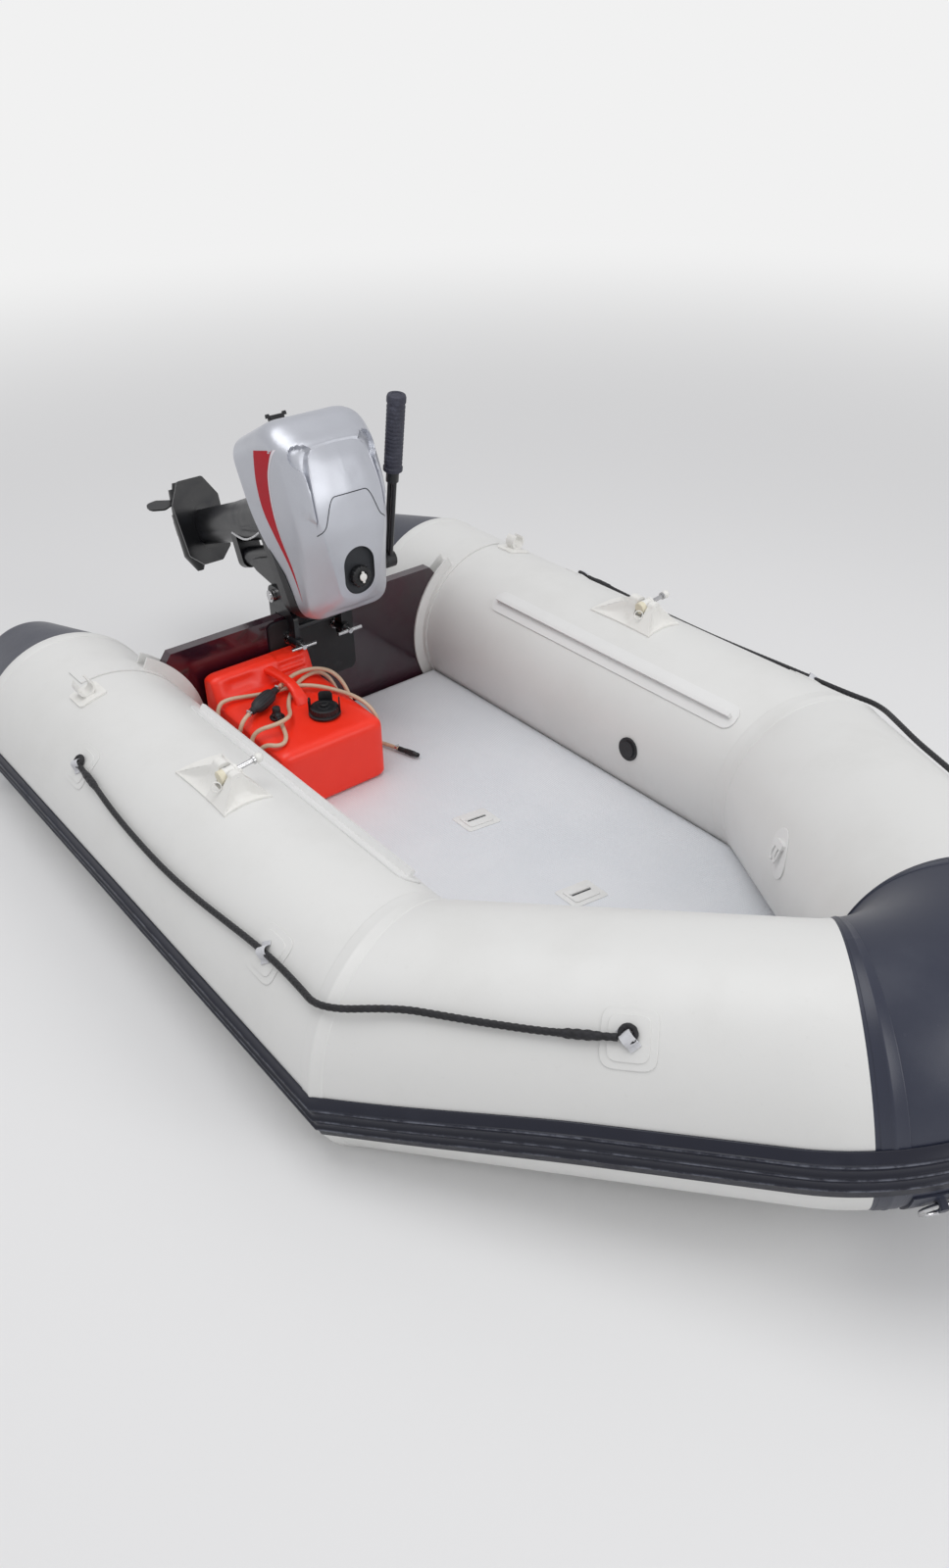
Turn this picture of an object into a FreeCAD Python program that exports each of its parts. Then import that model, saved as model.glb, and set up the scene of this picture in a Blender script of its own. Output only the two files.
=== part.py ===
import FreeCAD
import Part
import math
import os

# A small inflatable tender with an outboard motor tilted up.
# Millimetres. X points forward, Y to port, Z up. While it is built, X is 0 at the aft face
# of the transom and Z is 0 under the side tubes. The last step moves the origin to the
# middle of the footprint.

Vector = FreeCAD.Vector
STARBOARD = -1
PORT = 1
SIDES = (("starboard", STARBOARD), ("port", PORT))

# Seating and running clearances
seat_gap = 0.3
pin_gap = 0.3

# Tubes
tube_radius = 210.0
tube_spacing = 1100.0
cone_station = -202.0
cone_length = 262.0
cone_end_radius = 118.0
cone_end_rise = 34.0
seam_station = 1142.0
bow_plan_angle = 33.0
bow_rise_angle = 10.0
nose_bend_radius = tube_radius + 12.0
nose_grey_angle = 14.0

# Air deck and bottom
deck_top = 120.0
deck_thick = 58.0
deck_edge_radius = 26.0
deck_gap = 1.0
deck_aft = 36.0
deck_corner_radius = 90.0
deck_nose_radius = 170.0
bottom_chine_height = 30.0
bottom_chine_half = 452.0
keel_height = 9.0
keel_band_width = 64.0
keel_band_thick = 5.0

# Transom
transom_thick = 28.0
transom_top = 2 * tube_radius - 15.0
transom_foot = 22.0
transom_corner_radius = 46.0
holder_band_width = 67.0
holder_band_thick = 3.0
holder_lip_height = 26.0
holder_lip_thick = 5.0
holder_start_angle = -12.0
holder_end_angle = 148.0
pad_width = 240.0
pad_height = 190.0
pad_thick = 6.0
drain_radius = 22.0
drain_height = 66.0
drain_offset = 175.0

# Rub strake round the outside
strake_centre_angle = 98.0
strake_half_angle = 12.5
strake_thick = 3.5
strake_rib_height = 8.0
strake_rib_half_angle = 1.9
strake_rib_step = 7.6

# Fittings on the tubes
clip_station = 97.0
clip_angle = 14.0
clip_pad = 66.0
clip_length = 30.0
clip_bore = 15.0
clip_wall = 4.5
clip_mouth = 22.0
clip_centre_radius = tube_radius + 4.0 + clip_bore + clip_wall
oarlock_station = 635.0
oarlock_pin_height = 40.0
oarlock_pin_radius = 5.0
oarlock_shaft_radius = 6.0
oarlock_pin_run = 62.0
oarlock_pin_lift = 8.0
oarlock_ball_radius = 9.0
oarlock_foot_length = 146.0
oarlock_foot_width = 108.0
rail_start = 241.0
rail_length = 790.0
rail_angle = -38.0
rail_width = 58.0
rail_thick = 3.0
rail_lip = 16.0
valve_station = 803.0
valve_angle = -85.0
valve_radius = 27.5
valve_proud = 7.0
deck_patch_stations = (677.0, 1017.0)
deck_patch_length = 84.0
deck_patch_width = 96.0
deck_patch_thick = 2.5
deck_strap_width = 62.0
deck_strap_height = 8.0

# Motor, set out upright about its tilt axis
tilt_axis_station = -5.0
tilt_axis_rise = 45.0
parked_tilt = 70.0
steer_axis_back = 85.0


def arc_or_line_wire(corners, place):
    """Closed wire through corners (u, v, radius); each corner is turned by an arc."""
    count = len(corners)
    ends = []
    for index in range(count):
        u, v, radius = corners[index]
        here = Vector(u, v, 0)
        before = Vector(*corners[index - 1][:2], 0)
        after = Vector(*corners[(index + 1) % count][:2], 0)
        back = (before - here).normalize()
        ahead = (after - here).normalize()
        if radius <= 0:
            ends.append((here, None, here))
            continue
        half = back.getAngle(ahead) / 2
        reach = radius / math.tan(half)
        start = here + back * reach
        stop = here + ahead * reach
        inward = (back + ahead).normalize()
        middle = here + inward * (radius / math.sin(half) - radius)
        ends.append((start, middle, stop))
    edges = []
    for index in range(count):
        start, middle, stop = ends[index]
        follow = ends[(index + 1) % count][0]
        if middle is not None:
            edges.append(Part.Arc(place(start), place(middle), place(stop)).toShape())
        if (follow - stop).Length > 1e-6:
            edges.append(Part.LineSegment(place(stop), place(follow)).toShape())
    return Part.Wire(edges)


def on_xy(z):
    return lambda point: Vector(point.x, point.y, z)


def on_xz(y):
    return lambda point: Vector(point.x, y, point.y)


def on_yz(x):
    return lambda point: Vector(x, point.x, point.y)


def slab(corners, place, vector):
    """A flat outline with rounded corners, pushed along a vector."""
    return Part.Face(arc_or_line_wire(corners, place)).extrude(vector)


def rounded_box(low, high, upright_radius):
    """A box between two corners with its upright edges rounded."""
    corners = [
        (low[0], low[1], upright_radius),
        (high[0], low[1], upright_radius),
        (high[0], high[1], upright_radius),
        (low[0], high[1], upright_radius),
    ]
    return slab(corners, on_xy(low[2]), Vector(0, 0, high[2] - low[2]))


def rod(start, end, radius):
    axis = end - start
    return Part.makeCylinder(radius, axis.Length, start, axis)


def half_space(point, normal):
    """A large block on the side of a plane that the normal points to."""
    reach = 3000.0
    side = normal.cross(Vector(0, 0, 1))
    if side.Length < 1e-6:
        side = Vector(1, 0, 0)
    side.normalize()
    other = normal.cross(side).normalize()
    corners = [
        point + side * reach + other * reach,
        point - side * reach + other * reach,
        point - side * reach - other * reach,
        point + side * reach - other * reach,
    ]
    face = Part.Face(Part.makePolygon(corners + [corners[0]]))
    return face.extrude(Vector(normal) * reach)


def joined(shapes):
    whole = shapes[0]
    for shape in shapes[1:]:
        whole = whole.fuse(shape)
    return whole.removeSplitter()


# Axes of the tubes. The bow lies in a plane that rises from a line across the seams.
half_spacing = tube_spacing / 2
plan = math.radians(bow_plan_angle)
rise = math.radians(bow_rise_angle)
leg_turn = math.asin(math.sin(plan) * math.cos(rise))
plane_rise = math.asin(math.sin(rise) / math.cos(leg_turn))
bow_forward = Vector(math.cos(plane_rise), 0, math.sin(plane_rise))
bow_normal = Vector(-math.sin(plane_rise), 0, math.cos(plane_rise))
leg_length = (half_spacing - nose_bend_radius * math.cos(leg_turn)) / math.sin(leg_turn)
bend_reach = leg_length * math.cos(leg_turn) - nose_bend_radius * math.sin(leg_turn)
seam_middle = Vector(seam_station, 0, tube_radius)
bend_centre = seam_middle + bow_forward * bend_reach
nose_axis_front = bend_centre + bow_forward * nose_bend_radius
bend_half_angle = 90.0 - math.degrees(leg_turn)


class TubeLine:
    """One straight stretch of tube axis with its own outboard and up directions."""

    def __init__(self, origin, along, outboard, up):
        self.origin = origin
        self.along = along
        self.outboard = outboard
        self.up = up

    def point(self, station, out, up):
        return self.origin + self.along * station + self.outboard * out + self.up * up

    def around(self, station, radius, angle):
        """A point at an angle from the top of the tube, outboard counted positive."""
        turn = math.radians(angle)
        return self.point(station, radius * math.sin(turn), radius * math.cos(turn))


def side_line(side):
    origin = Vector(0, side * half_spacing, tube_radius)
    return TubeLine(origin, Vector(1, 0, 0), Vector(0, side, 0), Vector(0, 0, 1))


def leg_line(side):
    origin = Vector(seam_station, side * half_spacing, tube_radius)
    across = Vector(0, side, 0)
    along = bow_forward * math.cos(leg_turn) - across * math.sin(leg_turn)
    outboard = bow_forward * math.sin(leg_turn) + across * math.cos(leg_turn)
    return TubeLine(origin, along, outboard, bow_normal)


def mitre_normal(side):
    return (side_line(side).along + leg_line(side).along).normalize()


def before_seam(shape, side):
    return shape.cut(half_space(leg_line(side).origin, mitre_normal(side)))


def after_seam(shape, side):
    return shape.cut(half_space(leg_line(side).origin, mitre_normal(side) * -1))


def ring_sector(line, station, inner, outer, first, last):
    """Face of a ring sector across a tube, between two angles from its top."""
    middle = (first + last) / 2
    outer_arc = Part.Arc(
        line.around(station, outer, first),
        line.around(station, outer, middle),
        line.around(station, outer, last),
    ).toShape()
    inner_arc = Part.Arc(
        line.around(station, inner, last),
        line.around(station, inner, middle),
        line.around(station, inner, first),
    ).toShape()
    edges = [
        outer_arc,
        Part.LineSegment(line.around(station, outer, last), line.around(station, inner, last)).toShape(),
        inner_arc,
        Part.LineSegment(line.around(station, inner, first), line.around(station, outer, first)).toShape(),
    ]
    return Part.Face(Part.Wire(edges))


def saddle(line, station, length, inner, outer, first, last):
    face = ring_sector(line, station, inner, outer, first, last)
    return face.extrude(line.along * length)


def tube_patch(line, station, angle, length, width, inner, outer, corner):
    """A piece of skin glued on a tube, seen square on as a rectangle with rounded corners."""
    half = math.degrees(width / 2 / tube_radius)
    skin = saddle(line, station - length / 2, length, inner, outer, angle - half - 2, angle + half + 2)
    middle = line.around(station, inner - 12, angle)
    outward = (line.around(station, 1, angle) - line.point(station, 0, 0)).normalize()
    round_way = outward.cross(line.along)
    corners = [
        (-length / 2, -width / 2, corner),
        (length / 2, -width / 2, corner),
        (length / 2, width / 2, corner),
        (-length / 2, width / 2, corner),
    ]

    def place(point):
        return middle + line.along * point.x + round_way * point.y

    return skin.common(slab(corners, place, outward * (outer - inner + 24)))


def block_on_tube(line, station, angle, length, width, inner, outer):
    """A small upright block on a tube, square to its skin."""
    outward = (line.around(station, 1, angle) - line.point(station, 0, 0)).normalize()
    round_way = outward.cross(line.along)
    middle = line.around(station, inner, angle)
    corners = [(-length / 2, -width / 2, 3), (length / 2, -width / 2, 3), (length / 2, width / 2, 3), (-length / 2, width / 2, 3)]

    def place(point):
        return middle + line.along * point.x + round_way * point.y

    return slab(corners, place, outward * (outer - inner))


def grown_tubes(gap):
    """The straight tubes of both sides and the bow, grown by a gap, to cut other pieces back."""
    pieces = []
    for side in (STARBOARD, PORT):
        line = side_line(side)
        start = cone_station
        length = seam_station - start
        pieces.append(tube_disc(line, start, tube_radius + gap).extrude(line.along * length))
        line = leg_line(side)
        back = tube_radius
        pieces.append(tube_disc(line, -back, tube_radius + gap).extrude(line.along * (leg_length + back)))
        pieces.append(nose_turn(tube_disc(line, leg_length, tube_radius + gap), side, bend_half_angle))
        pieces.append(Part.makeSphere(tube_radius + gap, line.origin))
    return pieces


def holder_room(side):
    """Space that a transom holder takes, with its seating gap, to cut the deck and bottom back."""
    line = side_line(side)
    middle = transom_thick / 2
    outer = tube_radius + seat_gap + holder_band_thick
    band = tube_disc(line, middle - holder_band_width / 2 - seat_gap, outer + seat_gap)
    return band.extrude(line.along * (holder_band_width + 2 * seat_gap))


def tube_disc(line, station, radius):
    circle = Part.makeCircle(radius, line.point(station, 0, 0), line.along)
    return Part.Face(Part.Wire(circle))


def bend_axis(side):
    """Axis about which a section of the leg turns towards the centre line."""
    return bow_normal * -side


def nose_turn(shape, side, angle):
    return shape.revolve(bend_centre, bend_axis(side), angle)


def side_tube(side):
    line = side_line(side)
    start = cone_station
    length = seam_station + tube_radius - start
    return before_seam(tube_disc(line, start, tube_radius).extrude(line.along * length), side)


def bow_tube(side):
    line = leg_line(side)
    back = tube_radius
    leg = tube_disc(line, -back, tube_radius).extrude(line.along * (leg_length + back))
    leg = after_seam(leg, side)
    bend = nose_turn(tube_disc(line, leg_length, tube_radius), side, nose_grey_angle)
    return leg.fuse(bend)


def bow_nose():
    line = leg_line(PORT)
    section = tube_disc(line, leg_length, tube_radius)
    section = section.rotate(bend_centre, bend_axis(PORT), nose_grey_angle)
    return nose_turn(section, PORT, 2 * (bend_half_angle - nose_grey_angle))


def stern_cone(side):
    """A cone with a rising axis and a rounded end."""
    line = side_line(side)
    root = Part.Wire(Part.makeCircle(tube_radius, line.point(cone_station, 0, 0), line.along))
    tip_station = cone_station - cone_length
    tip = Part.Wire(
        Part.makeCircle(cone_end_radius, line.point(tip_station, 0, cone_end_rise), line.along)
    )
    cone = Part.makeLoft([root, tip], True, True)
    rim = [edge for edge in cone.Edges if abs(edge.CenterOfMass.x - tip_station) < 1.0]
    return cone.makeFillet(cone_end_radius * 0.42, rim[:1])


def strake_wire(line, station):
    """Section of the rub strake: a band with three ribs, hugging the tube."""
    inner = tube_radius + seat_gap
    low = inner + strake_thick
    high = inner + strake_rib_height
    first = strake_centre_angle - strake_half_angle
    last = strake_centre_angle + strake_half_angle
    steps = [(first, low)]
    for rib in (-1, 0, 1):
        centre = strake_centre_angle + rib * strake_rib_step
        steps.append((centre - strake_rib_half_angle, high))
        steps.append((centre + strake_rib_half_angle, low))
    edges = []
    here = line.around(station, inner, first)
    for index, (angle, radius) in enumerate(steps):
        stop = steps[index + 1][0] if index + 1 < len(steps) else last
        start_point = line.around(station, radius, angle)
        edges.append(Part.LineSegment(here, start_point).toShape())
        middle = line.around(station, radius, (angle + stop) / 2)
        here = line.around(station, radius, stop)
        edges.append(Part.Arc(start_point, middle, here).toShape())
    inner_stop = line.around(station, inner, last)
    edges.append(Part.LineSegment(here, inner_stop).toShape())
    middle = line.around(station, inner, strake_centre_angle)
    inner_start = line.around(station, inner, first)
    edges.append(Part.Arc(inner_stop, middle, inner_start).toShape())
    return Part.Wire(edges)


def side_strake(side):
    line = side_line(side)
    length = seam_station + tube_radius - cone_station
    aft = before_seam(Part.Face(strake_wire(line, cone_station)).extrude(line.along * length), side)
    line = leg_line(side)
    fore = Part.Face(strake_wire(line, -tube_radius)).extrude(line.along * (leg_length + tube_radius))
    return aft.fuse(after_seam(fore, side))


def nose_strake():
    line = leg_line(PORT)
    return nose_turn(Part.Face(strake_wire(line, leg_length)), PORT, 2 * bend_half_angle)


def tube_reach(radius, height):
    """How far inboard of a tube's axis a rod of this radius at this height just clears it."""
    clear = tube_radius + radius + deck_gap
    return math.sqrt(clear ** 2 - (tube_radius - height) ** 2)


def leg_clear_point(distance, radius, height):
    """Plan point beside the bow tube where such a rod just clears it."""
    axis = leg_line(PORT).point(distance, 0, 0)
    clear = tube_radius + radius + deck_gap
    reach = math.sqrt(max(clear ** 2 - (axis.z - height) ** 2, 0))
    return (axis.x - reach * math.sin(plan), axis.y - reach * math.cos(plan))


def deck_outline(grow):
    """Half outline of the air deck's flat top, from aft to the nose, as (x, y, radius)."""
    middle = deck_top - deck_thick / 2
    edge = deck_thick / 2
    half = half_spacing - tube_reach(edge, middle) + edge + grow
    seam_x, seam_y = leg_clear_point(0, edge, middle)
    fore_x, fore_y = leg_clear_point(leg_length * 0.82, edge, middle)
    slope = (fore_y - seam_y) / (fore_x - seam_x)
    turn_x = seam_x + (half - edge - seam_y) / slope
    nose_x = fore_x + edge
    return [
        (deck_aft, half, 0),
        (turn_x, half, deck_corner_radius),
        (nose_x, fore_y + edge, deck_nose_radius * 0.7),
    ]


def air_deck():
    port_half = deck_outline(0)
    starboard_half = [(x, -y, radius) for x, y, radius in reversed(port_half)]
    outline = port_half + starboard_half
    base = deck_top - deck_thick
    body = slab(outline, on_xy(base), Vector(0, 0, deck_thick))
    flat = [edge for edge in body.Edges if abs(edge.BoundBox.ZLength) < 1e-6]
    body = body.makeFillet(deck_edge_radius, flat)
    for room in grown_tubes(seat_gap) + [holder_room(STARBOARD), holder_room(PORT)]:
        body = body.cut(room)
    return max(body.Solids, key=lambda solid: solid.Volume)


def bottom_section(station, half, chine, keel):
    top = deck_top - deck_thick - deck_gap
    points = [
        Vector(station, -half, top),
        Vector(station, -half, min(chine, top - 1)),
        Vector(station, 0, keel),
        Vector(station, half, min(chine, top - 1)),
        Vector(station, half, top),
    ]
    return Part.makePolygon(points + [points[0]])


# Stations of the bottom: x, half width, height of the chine, height of the keel
BOTTOM_STATIONS = (
    (deck_aft, bottom_chine_half, bottom_chine_height, keel_height),
    (seam_station - 120.0, bottom_chine_half, bottom_chine_height, keel_height),
    (seam_station + 130.0, bottom_chine_half * 0.80, bottom_chine_height + 8.0, keel_height + 8.0),
    (seam_station + 330.0, bottom_chine_half * 0.45, bottom_chine_height + 22.0, keel_height + 28.0),
)


def hull_bottom():
    wires = [bottom_section(*row) for row in BOTTOM_STATIONS]
    body = Part.makeLoft(wires, True, True)
    for room in grown_tubes(seat_gap) + [holder_room(STARBOARD), holder_room(PORT)]:
        body = body.cut(room)
    return max(body.Solids, key=lambda solid: solid.Volume)


def keel_band():
    """Wear strip under the straight part of the keel."""
    rise_at_edge = (bottom_chine_height - keel_height) * keel_band_width / 2 / bottom_chine_half
    half = keel_band_width / 2
    top = keel_height - seat_gap
    points = [
        Vector(deck_aft, -half, top + rise_at_edge),
        Vector(deck_aft, 0, top),
        Vector(deck_aft, half, top + rise_at_edge),
        Vector(deck_aft, half, top + rise_at_edge - keel_band_thick),
        Vector(deck_aft, 0, top - keel_band_thick),
        Vector(deck_aft, -half, top + rise_at_edge - keel_band_thick),
    ]
    run = seam_station - 120.0 - deck_aft
    return Part.Face(Part.makePolygon(points + [points[0]])).extrude(Vector(run, 0, 0))


def transom_outline(side_clearance):
    """Closed wire of the transom board seen from astern, as edges in the YZ plane."""
    radius = tube_radius + side_clearance

    def wall(height):
        return half_spacing - math.sqrt(radius ** 2 - (tube_radius - height) ** 2)

    top = transom_top
    foot = transom_foot + 12.0
    low = transom_foot
    edges = []
    right_top = Vector(0, wall(top - 40), top - 40)
    right_mid = Vector(0, wall(tube_radius), tube_radius)
    right_foot = Vector(0, wall(foot), foot)
    left_top = Vector(0, -right_top.y, right_top.z)
    left_mid = Vector(0, -right_mid.y, right_mid.z)
    left_foot = Vector(0, -right_foot.y, right_foot.z)
    edges.append(Part.Arc(right_top, right_mid, right_foot).toShape())
    edges.append(Part.LineSegment(right_foot, Vector(0, 0, low)).toShape())
    edges.append(Part.LineSegment(Vector(0, 0, low), left_foot).toShape())
    edges.append(Part.Arc(left_foot, left_mid, left_top).toShape())
    shoulder = half_spacing - tube_radius - transom_corner_radius + 78.0
    left_shoulder = Vector(0, -shoulder, top)
    right_shoulder = Vector(0, shoulder, top)
    edges.append(Part.LineSegment(left_top, left_shoulder).toShape())
    edges.append(Part.LineSegment(left_shoulder, right_shoulder).toShape())
    edges.append(Part.LineSegment(right_shoulder, right_top).toShape())
    return Part.Wire(edges)


def transom_board():
    return Part.Face(transom_outline(holder_band_thick + 2 * seat_gap)).extrude(Vector(transom_thick, 0, 0))


def transom_holder(side):
    """A band on the tube with a lip on each face of the transom board."""
    line = side_line(side)
    middle = transom_thick / 2
    inner = tube_radius + seat_gap
    outer = inner + holder_band_thick
    first = -holder_end_angle
    last = -holder_start_angle
    band = saddle(line, middle - holder_band_width / 2, holder_band_width, inner, outer, first, last)
    pieces = [band]
    for start in (-seat_gap - holder_lip_thick, transom_thick + seat_gap):
        lip = saddle(line, start, holder_lip_thick, outer - 1, outer + holder_lip_height, first + 12, -30)
        pieces.append(lip)
    return joined(pieces)


def transom_pads():
    pieces = []
    for start in (-pad_thick - seat_gap, transom_thick + seat_gap):
        corners = [
            (-pad_width / 2, transom_top - pad_height - 8, 18),
            (pad_width / 2, transom_top - pad_height - 8, 18),
            (pad_width / 2, transom_top - 8, 18),
            (-pad_width / 2, transom_top - 8, 18),
        ]
        pieces.append(slab(corners, on_yz(start), Vector(pad_thick, 0, 0)))
    return Part.makeCompound(pieces)


def transom_drain():
    start = Vector(-9, -drain_offset, drain_height)
    flange = rod(start, start + Vector(9 - seat_gap, 0, 0), drain_radius)
    cap = rod(start - Vector(8, 0, 0), start, drain_radius * 0.62)
    return flange.fuse(cap)


def seat_rail(side):
    """A glued strip with a raised lip that a seat's bracket slides on."""
    line = side_line(side)
    inner = tube_radius + seat_gap
    middle = rail_start + rail_length / 2
    base = tube_patch(line, middle, rail_angle, rail_length, rail_width, inner, inner + rail_thick, rail_width * 0.42)
    lip = saddle(
        line, rail_start + 14, rail_length - 28, inner + rail_thick - 1, inner + rail_lip,
        rail_angle - 1.2, rail_angle + 1.2,
    )
    return joined([base, lip])


def centred_wire(centre, middle, length, width, radius, height):
    """Rounded rectangle about a point along the boat from a fitting's centre, at a height over it."""
    x = centre.x + middle
    corners = [
        (x - length / 2, centre.y - width / 2, radius),
        (x + length / 2, centre.y - width / 2, radius),
        (x + length / 2, centre.y + width / 2, radius),
        (x - length / 2, centre.y + width / 2, radius),
    ]
    return arc_or_line_wire(corners, on_xy(centre.z + height))


def oarlock_base(side):
    """A flared foot with two hollow-sided towers that carry the pin."""
    line = side_line(side)
    centre = line.around(oarlock_station, tube_radius, 0)
    inner = tube_radius + seat_gap
    pieces = [tube_patch(line, oarlock_station, 0, oarlock_foot_length, oarlock_foot_width, inner, inner + 5, 16)]
    for sign in (-1, 1):
        # distance fore or aft of the centre, length, width, corner radius, height
        rows = (
            (46.0, 50.0, 84.0, 12.0, 1.0),
            (33.0, 24.0, 46.0, 8.0, 26.0),
            (28.0, 14.0, 30.0, 5.0, oarlock_pin_height + 13.0),
        )
        wires = [centred_wire(centre, sign * row[0], *row[1:]) for row in rows]
        tower = Part.makeLoft(wires, True, True)
        hollow_low = Vector(centre.x + sign * 74, centre.y, centre.z + 30)
        hollow_high = Vector(centre.x + sign * 52, centre.y, centre.z + 30)
        hollow = Part.makeCone(24, 9, (hollow_high - hollow_low).Length, hollow_low, hollow_high - hollow_low)
        pieces.append(tower.cut(hollow))
    body = joined(pieces)
    tube = tube_disc(line, oarlock_station - oarlock_foot_length, inner)
    tube = tube.extrude(line.along * 2 * oarlock_foot_length)
    body = body.cut(tube)
    reach = Vector(oarlock_foot_length / 2, 0, 0)
    hole = centre + Vector(0, 0, oarlock_pin_height)
    return body.cut(rod(hole - reach, hole + reach, oarlock_shaft_radius + pin_gap))


def oarlock_pin(side):
    """Cross shaft, bushing and the threaded pin with a ball end, lying to port."""
    line = side_line(side)
    centre = line.around(oarlock_station, tube_radius, 0) + Vector(0, 0, oarlock_pin_height)
    shaft = rod(centre - Vector(37, 0, 0), centre + Vector(37, 0, 0), oarlock_shaft_radius)
    bushing = rod(centre - Vector(20, 0, 0), centre + Vector(20, 0, 0), 11.0)
    end = centre + Vector(0, oarlock_pin_run, oarlock_pin_lift)
    pin = rod(centre, end, oarlock_pin_radius)
    ball = Part.makeSphere(oarlock_ball_radius, end)
    return joined([bushing, shaft, pin, ball])


def oar_clips():
    """Square pads with an open ring that an oar's shaft snaps into."""
    pieces = []
    for side in (STARBOARD, PORT):
        line = side_line(side)
        inner = tube_radius + seat_gap
        pad = tube_patch(line, clip_station, clip_angle, clip_pad, clip_pad, inner, inner + 4, 10)
        start = clip_station - clip_length / 2
        centre = line.around(start, clip_centre_radius, clip_angle)
        run = line.along * clip_length
        ring = rod(centre, centre + run, clip_bore + clip_wall)
        foot = block_on_tube(line, clip_station, clip_angle, clip_length, 22, inner + 2, clip_centre_radius)
        body = joined([pad, ring, foot]).cut(rod(centre - run, centre + run * 2, clip_bore))
        mouth = block_on_tube(
            line, clip_station, clip_angle, clip_length + 20, clip_mouth,
            clip_centre_radius, clip_centre_radius + clip_bore + clip_wall + 20,
        )
        pieces.append(body.cut(mouth))
    return Part.makeCompound(pieces)


def tube_valves():
    pieces = []
    for side in (STARBOARD, PORT):
        line = side_line(side)
        outward = line.around(valve_station, 1.0, valve_angle) - line.point(valve_station, 0, 0)
        start = line.around(valve_station, tube_radius, valve_angle)
        flange = rod(start - outward * 6, start + outward * 3, valve_radius)
        cap = rod(start, start + outward * valve_proud, valve_radius * 0.72)
        body = flange.fuse(cap)
        tube = tube_disc(line, valve_station - 2 * valve_radius, tube_radius + seat_gap)
        tube = tube.extrude(line.along * 4 * valve_radius)
        pieces.append(body.cut(tube))
    return Part.makeCompound(pieces)


def deck_strap_patches():
    pieces = []
    for station in deck_patch_stations:
        base = rounded_box(
            (station - deck_patch_length / 2, -deck_patch_width / 2, deck_top + seat_gap),
            (station + deck_patch_length / 2, deck_patch_width / 2, deck_top + seat_gap + deck_patch_thick),
            10,
        )
        strap = rounded_box(
            (station - 11, -deck_strap_width / 2, deck_top + deck_patch_thick),
            (station + 11, deck_strap_width / 2, deck_top + deck_patch_thick + deck_strap_height),
            4,
        )
        pieces.append(joined([base, strap]))
    return Part.makeCompound(pieces)


# Grab lines along the outside of the tubes
line_radius = 6.0
patch_length = 84.0
patch_width = 88.0
patch_thick = 1.6
line_lift = tube_radius + 2 * seat_gap + 2 * patch_thick + line_radius
# on the bow leg or not, station, angle from the top of the tube
LINE_PATCHES = (
    (False, 262.0, 46.0),
    (False, 1004.0, 46.0),
    (True, 452.0, 50.0),
)
# on the bow leg or not, station, angle from the top of the tube, lift over the usual height
LINE_ROUTE = (
    (False, 276.8, 46.0, 0.0),
    (False, 350.0, 47.5, 0.0),
    (False, 450.0, 50.5, 0.0),
    (False, 560.0, 52.0, 0.0),
    (False, 680.0, 52.5, 0.0),
    (False, 790.0, 51.0, 0.0),
    (False, 890.0, 48.5, 0.0),
    (False, 970.0, 46.5, 0.0),
    (False, 1040.0, 45.5, 0.0),
    (False, 1110.0, 45.5, 2.0),
    (False, 1180.0, 46.0, 7.0),
    (True, 100.0, 46.5, 4.0),
    (True, 175.0, 48.0, 0.0),
    (True, 260.0, 49.5, 0.0),
    (True, 350.0, 50.5, 0.0),
    (True, 437.4, 50.0, 0.0),
)


def tube_part(side, on_leg):
    return leg_line(side) if on_leg else side_line(side)


def line_route(side):
    points = []
    for on_leg, station, angle, lift in LINE_ROUTE:
        point = tube_part(side, on_leg).around(station, line_lift + lift, angle)
        points.append((point.x, point.y, point.z))
    return points


def line_patches():
    """Rounded patches with a webbing loop that holds the grab line."""
    pieces = []
    inner = tube_radius + seat_gap
    for side in (STARBOARD, PORT):
        for index, (on_leg, station, angle) in enumerate(LINE_PATCHES):
            line = tube_part(side, on_leg)
            outer_patch = tube_patch(line, station, angle, patch_length, patch_width, inner, inner + patch_thick, 16)
            raised = tube_patch(line, station, angle, 54, 58, inner, inner + 2 * patch_thick, 12)
            top = line_lift + line_radius + 2.5
            loop = block_on_tube(line, station, angle, 28 if index != 1 else 20, 26, inner + 1, top)
            patch = joined([outer_patch, raised, loop])
            if index == 1:
                centre = line.around(station, line_lift, angle)
                reach = line.along * 60
                patch = patch.cut(rod(centre - reach, centre + reach, line_radius + 3 * seat_gap))
            pieces.append(patch)
    return Part.makeCompound(pieces)


def nose_span(face, middle_angle, span):
    """Sweep a section that stands at the port end of the bend round part of the nose."""
    turned = face.copy()
    turned.rotate(bend_centre, bend_axis(PORT), middle_angle - span / 2)
    return nose_turn(turned, PORT, span)


bow_handle_angle = 60.0
bow_handle_span = 24.0
bow_handle_radius = 10.0
bow_handle_height = 46.0


def bow_handle():
    """Grab handle across the front of the nose."""
    line = leg_line(PORT)
    inner = tube_radius + seat_gap
    middle = bend_half_angle
    base = ring_sector(line, leg_length, inner, inner + 3, bow_handle_angle - 9, bow_handle_angle + 9)
    pieces = [nose_span(base, middle, bow_handle_span + 10)]
    post_top = inner + bow_handle_height - bow_handle_radius
    post = ring_sector(line, leg_length, inner + 2, post_top, bow_handle_angle - 2.2, bow_handle_angle + 2.2)
    for sign in (-1, 1):
        pieces.append(nose_span(post, middle + sign * bow_handle_span / 2, 4.5))
    centre = line.around(leg_length, post_top, bow_handle_angle)
    bar = Part.Face(Part.Wire(Part.makeCircle(bow_handle_radius, centre, line.along)))
    pieces.append(nose_span(bar, middle, bow_handle_span))
    return joined(pieces)


tow_ring_angle = 128.0
tow_ring_turn = 30.0
tow_ring_radius = 24.0
tow_ring_wire = 4.0


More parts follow.
